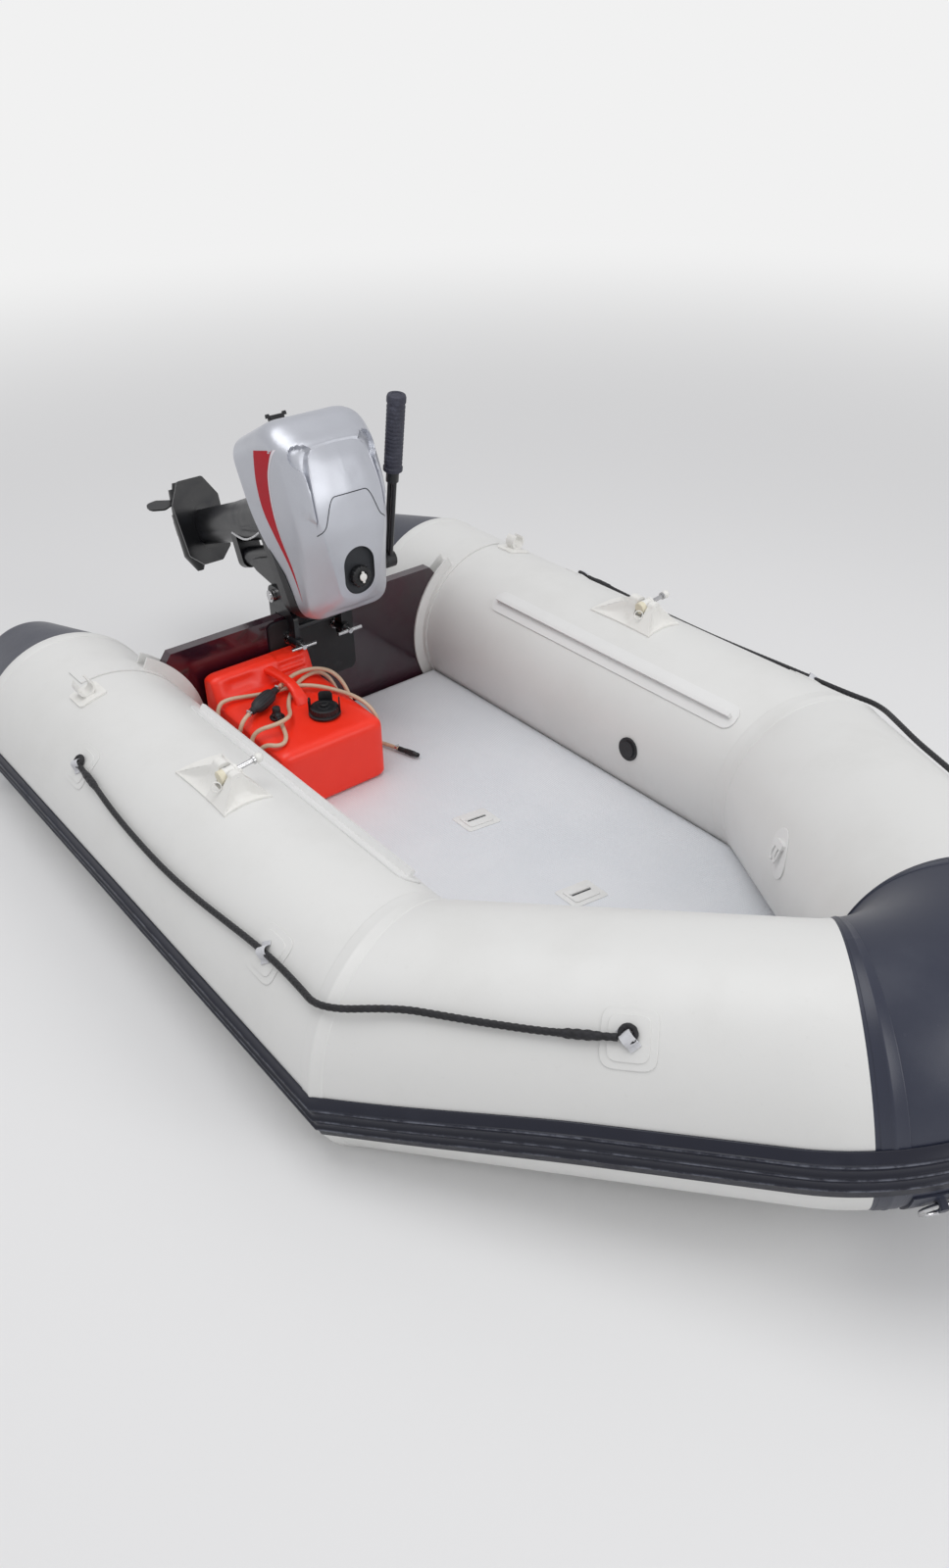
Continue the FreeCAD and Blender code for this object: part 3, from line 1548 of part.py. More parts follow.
def hose_shape(route, radius):
    """Tube along straight runs joined by tangent arcs."""
    points = [Vector(*point) for point in route]
    runs = [(points[i + 1] - points[i]).Length for i in range(len(points) - 1)]
    edges = []
    radii = []
    here = points[0]
    for index in range(1, len(points) - 1):
        before = (points[index - 1] - points[index]).normalize()
        after = (points[index + 1] - points[index]).normalize()
        reach = 0.45 * min(runs[index - 1], runs[index])
        half = before.getAngle(after) / 2
        radii.append(reach * math.tan(half))
        start = points[index] + before * reach
        stop = points[index] + after * reach
        inward = (before + after).normalize()
        middle = points[index] + inward * (radii[-1] / math.sin(half) - radii[-1])
        edges.append(Part.LineSegment(here, start).toShape())
        edges.append(Part.Arc(start, middle, stop).toShape())
        here = stop
    edges.append(Part.LineSegment(here, points[-1]).toShape())
    path = Part.Wire(edges)
    profile = Part.Wire(Part.makeCircle(radius, points[0], points[1] - points[0]))
    body = path.makePipeShell([profile], True, False)
    expected = math.pi * radius ** 2 * path.Length
    print("hose length", round(path.Length, 1), "volume ratio", round(body.Volume / expected, 4))
    print("hose radii", [round(value, 1) for value in radii])
    return body


def every_piece():
    pieces = {}
    for name, side in SIDES:
        pieces["side_tube_" + name] = side_tube(side)
        pieces["bow_tube_" + name] = bow_tube(side)
        pieces["stern_cone_" + name] = stern_cone(side)
        pieces["rub_strake_" + name] = side_strake(side)
        pieces["transom_holder_" + name] = transom_holder(side)
        pieces["seat_rail_" + name] = seat_rail(side)
        pieces["oarlock_base_" + name] = oarlock_base(side)
        pieces["oarlock_pin_" + name] = oarlock_pin(side)
    pieces["bow_nose"] = bow_nose()
    pieces["rub_strake_bow"] = nose_strake()
    pieces["air_deck"] = air_deck()
    pieces["hull_bottom"] = hull_bottom()
    pieces["transom_board"] = transom_board()
    pieces["transom_pads"] = transom_pads()
    pieces["transom_drain"] = transom_drain()
    pieces["oar_clips"] = oar_clips()
    pieces["tube_valves"] = tube_valves()
    pieces["deck_strap_patches"] = deck_strap_patches()
    pieces["keel_band"] = keel_band()
    pieces["line_patches"] = line_patches()
    for name, side in SIDES:
        pieces["lifeline_" + name] = hose_shape(line_route(side), line_radius)
    pieces["bow_handle"] = bow_handle()
    pieces["tow_patches"] = tow_patches()
    pieces["tow_rings"] = tow_rings()
    pieces["bow_loop_patches"] = bow_loop_patches()
    pieces["clamp_bracket"] = clamp_bracket()
    pieces["clamp_screws"] = clamp_screws()
    pieces["tilt_pin"] = tilt_pin()
    pieces["swivel_bracket"] = swivel_bracket()
    pieces["drive_leg"] = drive_leg()
    pieces["gearcase"] = gearcase()
    pieces["propeller"] = propeller()
    pieces["lower_pan"] = lower_pan()
    pieces["engine_cowl"] = engine_cowl()
    pieces["engine_block"] = engine_block()
    pieces["cowl_fuel_cap"] = fuel_cap()
    pieces["cowl_latch"] = cowl_latch()
    pieces["tiller_bracket"] = tiller_bracket()
    pieces["tiller_arm"] = tiller_arm()
    pieces["tiller_grip"] = tiller_grip()
    pieces["fuel_tank"] = fuel_tank()
    pieces["tank_cap"] = tank_cap()
    pieces["tank_pickup"] = tank_pickup()
    pieces["fuel_hose"] = hose_shape(HOSE_ROUTE, hose_radius)
    pieces["primer_bulb"] = primer_bulb()
    pieces["fuel_hose_outlet"] = hose_shape(OUTLET_ROUTE, hose_radius)
    pieces["hose_connector"] = hose_connector()
    return pieces


# Hoses, lines and what hangs on them, which the footprint leaves out
CORD_PIECES = (
    "fuel_hose",
    "fuel_hose_outlet",
    "primer_bulb",
    "hose_connector",
    "lifeline_starboard",
    "lifeline_port",
)


def footprint_middle(pieces):
    box = FreeCAD.BoundBox()
    for name, shape in pieces.items():
        if name not in CORD_PIECES:
            box.add(shape.optimalBoundingBox(True, False))
    return (box.XMin + box.XMax) / 2, box


def main():
    os.makedirs("parts", exist_ok=True)
    pieces = every_piece()
    middle, box = footprint_middle(pieces)
    for name, shape in pieces.items():
        shape = shape.copy()
        shape.translate(Vector(-middle, 0, 0))
        if not shape.isValid() or not shape.Solids:
            print("check", name, shape.isValid(), len(shape.Solids))
        shape.exportStep("parts/" + name + ".step")
    print("origin at station", round(middle, 3))
    print("box", [round(value, 1) for value in (box.XLength, box.YLength, box.ZLength, box.ZMin)])


if __name__ == "__main__":
    main()
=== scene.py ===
# %% [markdown]
# This lesson dresses a small inflatable tender with its outboard motor tilted up.
# The frame gives every rigid piece at its real size and says which body it moves with.
# Here each piece gets its finish, and the soft and moulded pieces get finer meshes.
# The frame is read first, so that all that follows can sit on it.

# %% The frame
import math

import bmesh
import bpy
from mathutils import Matrix, Vector
from mathutils.bvhtree import BVHTree


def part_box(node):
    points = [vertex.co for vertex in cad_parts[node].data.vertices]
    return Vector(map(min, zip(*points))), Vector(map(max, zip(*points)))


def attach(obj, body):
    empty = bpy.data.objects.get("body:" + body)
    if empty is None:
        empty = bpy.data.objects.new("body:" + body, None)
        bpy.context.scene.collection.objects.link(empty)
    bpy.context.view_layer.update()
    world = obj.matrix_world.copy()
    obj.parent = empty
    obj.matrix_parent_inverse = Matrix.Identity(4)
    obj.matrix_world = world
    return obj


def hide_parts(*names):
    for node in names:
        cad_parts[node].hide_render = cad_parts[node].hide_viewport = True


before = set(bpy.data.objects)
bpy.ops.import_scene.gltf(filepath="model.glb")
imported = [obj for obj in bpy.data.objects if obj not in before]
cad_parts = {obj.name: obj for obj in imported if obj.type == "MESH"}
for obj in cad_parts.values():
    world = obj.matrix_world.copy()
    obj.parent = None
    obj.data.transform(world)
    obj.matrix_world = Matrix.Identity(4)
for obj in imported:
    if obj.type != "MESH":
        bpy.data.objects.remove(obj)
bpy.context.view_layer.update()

# %% [markdown]
# A boat builder measures from the transom, so sizes here are in millimetres from its aft face.
# One helper turns such a point into metres in the frame, and it finds the transom in the frame.

# %% Places on the boat
STARBOARD = -1
PORT = 1
SIDES = (("starboard", STARBOARD), ("port", PORT))
MM = 0.001
transom_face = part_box("transom_board")[0].x
seat_gap = 0.3


def at(x, y, z):
    """A point in millimetres from the transom, in metres in the frame."""
    return Vector((x * MM + transom_face, y * MM, z * MM))


print("transom face at", round(transom_face, 4))

# %% [markdown]
# The tubes are cylinders on straight axes that meet at a mitre and close in a round nose.
# A tube line knows its start and three directions, and gives a point at any angle round it.
# Seams, patches and ropes then need only a station along the tube and an angle from its top.

# %% Tube lines
side_low, side_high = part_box("side_tube_port")
tube_radius = (side_high.z - side_low.z) / 2 / MM
half_spacing = (side_high.y + side_low.y) / 2 / MM
cone_station = (side_low.x - transom_face) / MM
seam_station = 1142.0
bow_plan = math.radians(33.0)
bow_rise = math.radians(10.0)
nose_bend_radius = 222.0
nose_grey_angle = 14.0
leg_turn = math.asin(math.sin(bow_plan) * math.cos(bow_rise))
plane_rise = math.asin(math.sin(bow_rise) / math.cos(leg_turn))
bow_forward = Vector((math.cos(plane_rise), 0, math.sin(plane_rise)))
bow_normal = Vector((-math.sin(plane_rise), 0, math.cos(plane_rise)))
leg_length = (half_spacing - nose_bend_radius * math.cos(leg_turn)) / math.sin(leg_turn)
bend_reach = leg_length * math.cos(leg_turn) - nose_bend_radius * math.sin(leg_turn)
bend_centre = at(seam_station, 0, tube_radius) + bow_forward * bend_reach * MM
bend_half_angle = 90 - math.degrees(leg_turn)


class TubeLine:
    """A straight stretch of tube axis, or a place on the round nose."""

    def __init__(self, origin, along, outboard, up):
        self.origin = origin
        self.along = along
        self.outboard = outboard
        self.up = up

    def outward(self, angle):
        """Unit direction away from the axis at an angle from the top, outboard positive."""
        turn = math.radians(angle)
        return self.outboard * math.sin(turn) + self.up * math.cos(turn)

    def around(self, station, radius, angle):
        return self.origin + self.along * station * MM + self.outward(angle) * radius * MM


def side_line(side):
    origin = at(0, side * half_spacing, tube_radius)
    return TubeLine(origin, Vector((1, 0, 0)), Vector((0, side, 0)), Vector((0, 0, 1)))


def leg_line(side):
    origin = at(seam_station, side * half_spacing, tube_radius)
    across = Vector((0, side, 0))
    along = bow_forward * math.cos(leg_turn) - across * math.sin(leg_turn)
    outboard = bow_forward * math.sin(leg_turn) + across * math.cos(leg_turn)
    return TubeLine(origin, along, outboard, bow_normal)


def nose_line(angle):
    """Tube directions round the nose, an angle from the start of the port bend."""
    leg = leg_line(PORT)
    turn = Matrix.Rotation(math.radians(angle), 3, -bow_normal)
    origin = bend_centre + turn @ (leg.origin + leg.along * leg_length * MM - bend_centre)
    return TubeLine(origin, turn @ leg.along, turn @ leg.outboard, bow_normal)


print("tube radius", round(tube_radius, 1), "half spacing", round(half_spacing, 1))
print("bow leg", round(leg_length, 1))

# %% [markdown]
# The camera stands off the starboard bow and looks down into the boat.
# Its place and angles were solved from the straight tubes and the fittings of known spacing.
# A long picture takes its lens angle from the longer side of the picture.

# %% The camera
picture_width = 968
picture_height = 1600
focal_pixels = 1215.24
film_long_side = 36.0
camera_heading = math.radians(141.75)
camera_pitch = math.radians(33.89)
camera_roll = math.radians(-1.18)
camera_place = at(2372.7, -1341.1, 1669.3)


def make_camera():
    forward = Vector((
        math.cos(camera_heading) * math.cos(camera_pitch),
        math.sin(camera_heading) * math.cos(camera_pitch),
        -math.sin(camera_pitch),
    ))
    level = Vector((math.sin(camera_heading), -math.cos(camera_heading), 0))
    upright = level.cross(forward)
    right = level * math.cos(camera_roll) + upright * math.sin(camera_roll)
    up = upright * math.cos(camera_roll) - level * math.sin(camera_roll)
    data = bpy.data.cameras.new("camera")
    data.sensor_width = film_long_side
    data.lens = focal_pixels / max(picture_width, picture_height) * film_long_side
    camera = bpy.data.objects.new("camera", data)
    bpy.context.scene.collection.objects.link(camera)
    turn = Matrix((right, up, -forward)).transposed()
    camera.matrix_world = Matrix.Translation(camera_place) @ turn.to_4x4()
    bpy.context.scene.camera = camera
    return camera


camera = make_camera()
bpy.context.scene.view_settings.view_transform = "Standard"
print("lens", round(camera.data.lens, 2), "mm")

# %% [markdown]
# Every finish is a network of nodes. Written out by hand such a network is long and hard to read.
# A small class wraps a node's socket, so that a sum of sockets adds the nodes of that sum.
# Any other node comes from one method, which sets the node up before it fills its sockets.

# %% Sums of sockets


class Wire:
    """The output of a node, written in sums like a number."""

    def __init__(self, finish, socket):
        self.finish = finish
        self.socket = socket

    def math(self, operation, *others):
        return self.finish.node("Math", {"operation": operation}, [self, *others])

    def __add__(self, other):
        return self.math("ADD", other)

    def __sub__(self, other):
        return self.math("SUBTRACT", other)

    def __mul__(self, other):
        return self.math("MULTIPLY", other)

    def __rsub__(self, other):
        return self.finish.node("Math", {"operation": "SUBTRACT"}, [other, self])

    __radd__ = __add__
    __rmul__ = __mul__

    def fade(self, low, high):
        """0 below low, 1 above high and smooth between."""
        settings = {"interpolation_type": "SMOOTHSTEP"}
        return self.finish.node("MapRange", settings, {"Value": self, "From Min": low, "From Max": high})


class Finish:
    """A material built round one Principled shader."""

    def __init__(self, name, **constants):
        self.material = bpy.data.materials.new(name)
        self.material.use_nodes = True
        self.nodes = self.material.node_tree.nodes
        self.links = self.material.node_tree.links
        self.shader = self.nodes["Principled BSDF"]
        for key, value in constants.items():
            self.set(key.replace("_", " ").title().replace("Ior", "IOR"), value)

    def put(self, socket, value):
        if isinstance(value, Wire):
            self.links.new(value.socket, socket)
        elif socket.type == "RGBA":
            socket.default_value = (*value, 1)
        else:
            socket.default_value = value

    def set(self, name, value):
        self.put(self.shader.inputs[name], value)

    def node(self, kind, settings=None, inputs=(), output=0):
        made = self.nodes.new("ShaderNode" + kind)
        for key, value in (settings or {}).items():
            setattr(made, key, value)
        pairs = inputs.items() if isinstance(inputs, dict) else enumerate(inputs)
        for key, value in pairs:
            self.put(made.inputs[key], value)
        return Wire(self, made.outputs[output])

    def mix(self, factor, first, second):
        return self.node("Mix", {"data_type": "RGBA"}, {0: factor, 6: first, 7: second}, 2)

    def place(self):
        """Coordinates on the piece, in metres in the frame."""
        return self.node("TexCoord", None, (), "Object")

    def axes(self, source=None):
        split = self.node("SeparateXYZ", None, [source or self.place()])
        outputs = split.socket.node.outputs
        return [Wire(self, outputs[index]) for index in range(3)]

    def noise(self, scale, detail=2.0, roughness=0.5, source=None):
        inputs = {"Vector": source or self.place(), "Scale": scale, "Detail": detail, "Roughness": roughness}
        return self.node("TexNoise", None, inputs)

    def cells(self, scale):
        return self.node("TexVoronoi", None, {"Vector": self.place(), "Scale": scale}, "Distance")

    def bump(self, height, distance, strength=1.0, under=None):
        inputs = {"Height": height, "Distance": distance, "Strength": strength}
        if under is not None:
            inputs["Normal"] = under
        return self.node("Bump", None, inputs)


def tone(red, green, blue):
    """A colour as a paint card gives it, from 0 to 255, turned into light."""
    def linear(level):
        level = level / 255
        return level / 12.92 if level <= 0.04045 else ((level + 0.055) / 1.055) ** 2.4

    return (linear(red), linear(green), linear(blue))


print("white on the card", [round(v, 3) for v in tone(226, 226, 223)])

# %% [markdown]
# The tubes are polyester cloth coated with PVC: smooth and satin, with a very fine grain.
# Handling and rain leave faint grey patches, and a film of dirt gathers low down near the waterline.
# Colour and gloss vary only a little, because a strong pattern would look like painted metal.

# %% Coated cloth
waterline = 0.068
grain_cells = 1100.0


def coated_cloth(name, colour, soiled, rough, soil_amount):
    finish = Finish(name)
    patches = finish.noise(5.0, 5.0, 0.6).fade(0.42, 0.72)
    specks = finish.noise(95.0, 3.0, 0.6).fade(0.62, 0.78)
    height = finish.axes()[2]
    low_film = (1 - height.fade(waterline, waterline + 0.14)) * finish.noise(22.0, 4.0, 0.65).fade(0.3, 0.7)
    soil = patches * (0.5 * soil_amount) + specks * (0.35 * soil_amount) + low_film * (1.4 * soil_amount)
    finish.set("Base Color", finish.mix(soil, colour, soiled))
    finish.set("Roughness", soil * 0.25 + patches * 0.05 + rough)
    grain = finish.bump(finish.cells(grain_cells), 0.00012, 0.5)
    finish.set("Normal", finish.bump(finish.noise(9.0, 2.0), 0.0016, 0.35, grain))
    return finish.material


grey_cloth = coated_cloth("grey_cloth", tone(224, 224, 222), tone(168, 165, 156), 0.40, 0.16)
patch_cloth = coated_cloth("patch_cloth", tone(228, 228, 227), tone(176, 174, 166), 0.44, 0.14)
navy_cloth = coated_cloth("navy_cloth", tone(44, 48, 64), tone(98, 102, 112), 0.34, 0.22)
print("cloth finishes", grey_cloth.name, patch_cloth.name, navy_cloth.name)

# %% [markdown]
# The air deck's skin is embossed with a fine diamond pattern so that it grips when it is wet.
# Two sets of ridges that cross at nearly a right angle make such a pattern.
# The colour follows the same height: a little lighter on the ridges and darker in the valleys.

# %% Air deck
diamond_pitch = 0.0085


def deck_cloth():
    finish = Finish("deck_cloth")
    along, across, _ = finish.axes()
    turn = 2 * math.pi / diamond_pitch / math.sqrt(2)
    first = ((along + across) * turn).math("SINE")
    second = ((along - across * 1.35) * turn).math("SINE")
    ridges = first * second * 0.5 + 0.5
    worn = finish.noise(3.2, 5.0, 0.6).fade(0.35, 0.75)
    # the colour is a little lighter on the ridges and darker in the valleys, after their height
    tint = ridges * 0.35 + worn * 0.45
    finish.set("Base Color", finish.mix(tint, tone(214, 217, 222), tone(228, 229, 232)))
    finish.set("Roughness", worn * 0.12 + 0.46)
    waves = finish.bump(finish.noise(7.0, 2.0), 0.003, 0.4)
    finish.set("Normal", finish.bump(ridges, 0.0007, 0.8, waves))
    return finish.material


deck_skin = deck_cloth()
print("deck diamonds every", diamond_pitch * 1000, "mm")

# %% [markdown]
# The rub strake is a moulded rubber band with three beads that take the knocks alongside.
# The bead tops are scuffed lighter in broken lines, and the flats between them stay dark.
# The strake's mesh carries how far across it each face lies, so the scuffs can follow the beads.

# %% Strake rubber
bead_places = (0.25, 0.5, 0.75)


def strake_rubber():
    finish = Finish("strake_rubber")
    sheet_place = finish.node("UVMap", {"uv_map": "band"})
    across = finish.axes(sheet_place)[1]
    beads = 0.0
    for bead in bead_places:
        beads = beads + (1 - (across - bead).math("ABSOLUTE").fade(0.008, 0.026))
    broken = finish.noise(26.0, 6.0, 0.75).fade(0.40, 0.62)
    scuff = beads * broken
    grime = finish.noise(14.0, 5.0, 0.6).fade(0.45, 0.8) * 0.25
    colour = finish.mix(grime, tone(17, 20, 38), tone(44, 48, 62))
    finish.set("Base Color", finish.mix(scuff * 0.62, colour, tone(126, 130, 142)))
    finish.set("Roughness", scuff * 0.3 + grime + 0.34)
    finish.set("Normal", finish.bump(finish.noise(240.0, 3.0), 0.0002, 0.5))
    return finish.material


strake_skin = strake_rubber()
print("strake beads", len(bead_places))

# %% [markdown]
# The transom is a plywood board sealed with dark gloss paint that shows a maroon cast in the light.
# Fine scratches and a few dull smears break the shine, so the roughness varies and the colour hardly.

# %% Transom paint


def transom_paint():
    finish = Finish("transom_paint", coat_roughness=0.08, specular_ior_level=0.5)
    smear = finish.noise(6.0, 5.0, 0.65).fade(0.4, 0.75)
    streak = finish.node("Mapping", None, {"Vector": finish.place(), "Scale": (1.0, 6.0, 90.0)})
    scratch = finish.noise(9.0, 6.0, 0.7, streak).fade(0.66, 0.72)
    finish.set("Base Color", finish.mix(smear, tone(38, 15, 27), tone(58, 20, 36)))
    finish.set("Roughness", smear * 0.12 + scratch * 0.3 + 0.16)
    finish.set("Coat Weight", 1 - smear * 0.5)
    finish.set("Normal", finish.bump(scratch, 0.0003, 0.4))
    return finish.material


transom_skin = transom_paint()
print("transom", transom_skin.name)

# %% [markdown]
# Moulded plastics differ in colour, gloss and the grain left by the mould.
# One function makes them all from a few numbers, with rubbed lighter wear where noise allows it.

# %% Moulded plastics


def moulded(name, colour, worn, rough, grain=1400.0, wear=0.3, grain_depth=0.00008):
    finish = Finish(name)
    rubbed = finish.noise(38.0, 5.0, 0.65).fade(0.5, 0.78) * wear
    cloud = finish.noise(8.0, 3.0, 0.5)
    finish.set("Base Color", finish.mix(rubbed, colour, worn))
    finish.set("Roughness", rubbed * 0.3 + cloud * 0.08 + rough)
    finish.set("Normal", finish.bump(finish.noise(grain, 2.0), grain_depth, 0.5))
    return finish.material


white_plastic = moulded("white_plastic", tone(233, 232, 228), tone(196, 193, 184), 0.34)
cream_plastic = moulded("cream_plastic", tone(226, 219, 196), tone(186, 178, 150), 0.38)
black_plastic = moulded("black_plastic", tone(20, 21, 24), tone(64, 66, 70), 0.38)
dull_black = moulded("dull_black", tone(27, 28, 31), tone(76, 78, 82), 0.58, 700.0)
valve_plastic = moulded("valve_plastic", tone(34, 35, 38), tone(82, 84, 88), 0.48)
grip_rubber = moulded("grip_rubber", tone(52, 53, 66), tone(104, 106, 122), 0.55, 500.0, 0.4, 0.0002)
bulb_rubber = moulded("bulb_rubber", tone(33, 34, 38), tone(78, 78, 82), 0.52, 420.0, 0.35, 0.0002)
keel_rubber = moulded("keel_rubber", tone(40, 42, 48), tone(96, 98, 100), 0.60, 300.0, 0.6, 0.0003)
print("plastics", white_plastic.name, black_plastic.name)

# %% [markdown]
# The fuel tank is blown from orange-red polyethylene, which is slightly waxy and uneven.
# Its wall ripples a little, long scratches catch the light, and rubbed spots turn pale.

# %% Tank plastic


def tank_plastic():
    finish = Finish("tank_plastic", subsurface_weight=0.08, subsurface_scale=0.01)
    cloud = finish.noise(11.0, 4.0, 0.6)
    rubbed = finish.noise(60.0, 6.0, 0.7).fade(0.60, 0.80)
    streak = finish.node("Mapping", None, {"Vector": finish.place(), "Scale": (40.0, 6.0, 6.0)})
    scratch = finish.noise(8.0, 6.0, 0.75, streak).fade(0.64, 0.72)
    base = finish.mix(cloud, tone(244, 44, 22), tone(252, 54, 28))
    finish.set("Base Color", finish.mix(rubbed * 0.16 + scratch * 0.12, base, tone(246, 132, 104)))
    finish.set("Roughness", cloud * 0.12 + scratch * 0.2 + 0.30)
    ripple = finish.bump(finish.noise(26.0, 2.0), 0.0011, 0.4)
    finish.set("Normal", finish.bump(finish.noise(420.0, 2.0), 0.0001, 0.5, ripple))
    return finish.material


tank_skin = tank_plastic()
print("tank", tank_skin.name)

# %% [markdown]
# The cowl is painted silver: flakes of metal under a clear coat.
# The flakes show as a very fine sparkle, so they are tiny cells that change colour and roughness.
# Castings below are painted black and have a few small chips.

# %% Motor paints
flake_cells = 2600.0


def silver_paint():
    finish = Finish("silver_paint", metallic=0.62, coat_weight=0.35, coat_roughness=0.2)
    flakes = finish.cells(flake_cells)
    film = finish.noise(7.0, 4.0, 0.6).fade(0.4, 0.8)
    light = finish.mix(flakes, tone(206, 208, 215), tone(184, 187, 195))
    finish.set("Base Color", finish.mix(film * 0.18, light, tone(158, 158, 160)))
    finish.set("Roughness", flakes * 0.10 + film * 0.10 + 0.34)
    finish.set("Normal", finish.bump(flakes, 0.00002, 0.3))
    return finish.material


def black_paint():
    finish = Finish("black_paint", coat_weight=0.35, coat_roughness=0.18)
    chips = finish.noise(120.0, 5.0, 0.7).fade(0.70, 0.76)
    film = finish.noise(18.0, 5.0, 0.6).fade(0.45, 0.8)
    colour = finish.mix(film, tone(9, 10, 14), tone(24, 26, 33))
    finish.set("Base Color", finish.mix(chips, colour, tone(96, 98, 102)))
    finish.set("Roughness", film * 0.2 + chips * 0.2 + 0.30)
    finish.set("Normal", finish.bump(finish.noise(700.0, 3.0), 0.00012, 0.5))
    return finish.material


silver_skin = silver_paint()
casting_paint = black_paint()
print("motor paints", silver_skin.name, casting_paint.name)

# %% [markdown]
# Bare metal needs a full metallic shader and a roughness broken by specks of dried salt.
# Engine castings, seen only through gaps, are a duller version of the same.

# %% Bare metal


def bare_metal(name, colour, dulled, rough):
    finish = Finish(name, metallic=1.0)
    salt = finish.noise(150.0, 4.0, 0.6).fade(0.5, 0.75)
    finish.set("Base Color", finish.mix(salt, colour, dulled))
    finish.set("Roughness", salt * 0.25 + rough)
    finish.set("Normal", finish.bump(finish.noise(900.0, 2.0), 0.00006, 0.4))
    return finish.material


steel_metal = bare_metal("steel_metal", (0.62, 0.62, 0.63), (0.42, 0.41, 0.40), 0.20)
cast_metal = bare_metal("cast_metal", (0.30, 0.30, 0.31), (0.18, 0.18, 0.18), 0.45)
print("metals", steel_metal.name, cast_metal.name)

# %% [markdown]
# The fuel hose is beige PVC with a faint cord wound into its wall.
# The grab line is braided polyester, nearly black, with a soft sheen on each yarn.

# %% Hose and rope


def hose_plastic():
    finish = Finish("hose_plastic", coat_weight=0.2, coat_roughness=0.2)
    cloud = finish.noise(30.0, 4.0, 0.6)
    cord_marks = finish.cells(420.0).fade(0.2, 0.6)
    base = finish.mix(cloud, tone(196, 168, 140), tone(214, 190, 166))
    finish.set("Base Color", finish.mix(cord_marks * 0.16, base, tone(150, 122, 98)))
    finish.set("Roughness", cloud * 0.15 + 0.32)
    finish.set("Normal", finish.bump(cord_marks, 0.0001, 0.4))
    return finish.material


def braid_yarn(name, colour, raised):
    finish = Finish(name, sheen_weight=0.25, sheen_roughness=0.4)
    fibres = finish.noise(1500.0, 2.0)
    fluff = finish.noise(60.0, 4.0, 0.7).fade(0.45, 0.75)
    finish.set("Base Color", finish.mix(fluff * 0.6, colour, raised))
    finish.set("Roughness", fluff * 0.15 + 0.62)
    finish.set("Normal", finish.bump(fibres, 0.0002, 0.7))
    return finish.material


hose_skin = hose_plastic()
black_yarn = braid_yarn("black_yarn", tone(19, 19, 23), tone(52, 52, 58))
webbing = braid_yarn("webbing", tone(205, 206, 210), tone(178, 178, 180))
print("lines", hose_skin.name, black_yarn.name)

# %% [markdown]
# Decals and dark lines on the cowl are thin pieces of their own, each with a plain finish.
# They still vary a little in gloss, as print on film does.

# %% Decals


def decal(name, colour, second, rough=0.25):
    finish = Finish(name, specular_ior_level=0.25)
    cloud = finish.noise(20.0, 4.0, 0.6)
    finish.set("Base Color", finish.mix(cloud, colour, second))
    finish.set("Roughness", cloud * 0.15 + rough)
    return finish.material


red_decal = decal("red_decal", tone(168, 0, 24), tone(190, 4, 32), 0.42)
pale_decal = decal("pale_decal", tone(226, 214, 220), tone(240, 232, 236))
dark_line = decal("dark_line", tone(42, 44, 48), tone(58, 60, 66), 0.4)
recess_black = decal("recess_black", tone(48, 50, 54), tone(60, 62, 66), 0.42)
print("decals", red_decal.name, pale_decal.name, dark_line.name)

# %% [markdown]
# The CAD pieces whose shape is right stay, and only get a finish.
# A table gives the finish for each start of a node's name, and the longest fitting start wins.

# %% Finishes for the frame's own pieces
FINISHED_STARTS = (
    (grey_cloth, "side_tube bow_tube transom_holder hull_bottom"),
    (navy_cloth, "bow_nose stern_cone rub_strake tow_patches"),
    (patch_cloth, "deck_strap_patches seat_rail line_patches bow_loop_patches"),
    (deck_skin, "air_deck"),
    (keel_rubber, "keel_band"),
    (transom_skin, "transom_board"),
    (dull_black, "bow_handle transom_pads"),
    (white_plastic, "oarlock_base oar_clips"),
    (valve_plastic, "tube_valves"),
    (steel_metal, "tow_rings oarlock_pin clamp_screws tilt_pin"),
    (casting_paint, "clamp_bracket swivel_bracket drive_leg gearcase propeller tiller_bracket tiller_arm"),
    (black_plastic, "transom_drain lower_pan cowl_fuel_cap cowl_latch tank_cap tank_pickup hose_connector"),
    (silver_skin, "engine_cowl"),
    (cast_metal, "engine_block"),
    (grip_rubber, "tiller_grip"),
    (tank_skin, "fuel_tank"),
    (bulb_rubber, "primer_bulb"),
    (hose_skin, "fuel_hose"),
    (black_yarn, "lifeline"),
)
NODE_FINISHES = {start: finish for finish, starts in FINISHED_STARTS for start in starts.split()}


def finish_for(name):
    starts = [start for start in NODE_FINISHES if name.startswith(start)]
    return NODE_FINISHES[max(starts, key=len)]


def dress(piece, material):
    piece.data.materials.clear()
    piece.data.materials.append(material)


for name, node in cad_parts.items():
    dress(node, finish_for(name))
print("dressed", len(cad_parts), "pieces of the frame")

# %% [markdown]
# A piece made here needs a mesh, a finish, the body it moves with and the node it stands for.
# One helper does all of that, so that each later cell only works out the shape.
# A second one makes a skin from rows of points, which suits tapes, bands, ropes and shells.

# %% Making a piece


def add_piece(name, data, body, material=None, slot=None, replaces=()):
    made = bpy.data.objects.new(name, data)
    bpy.context.scene.collection.objects.link(made)
    if material is not None:
        data.materials.clear()
        data.materials.append(material)
    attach(made, body)
    if replaces:
        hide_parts(*replaces)
    return made


def smooth_faces(data, sharp_degrees=40):
    data.polygons.foreach_set("use_smooth", [True] * len(data.polygons))
    data.set_sharp_from_angle(angle=math.radians(sharp_degrees))


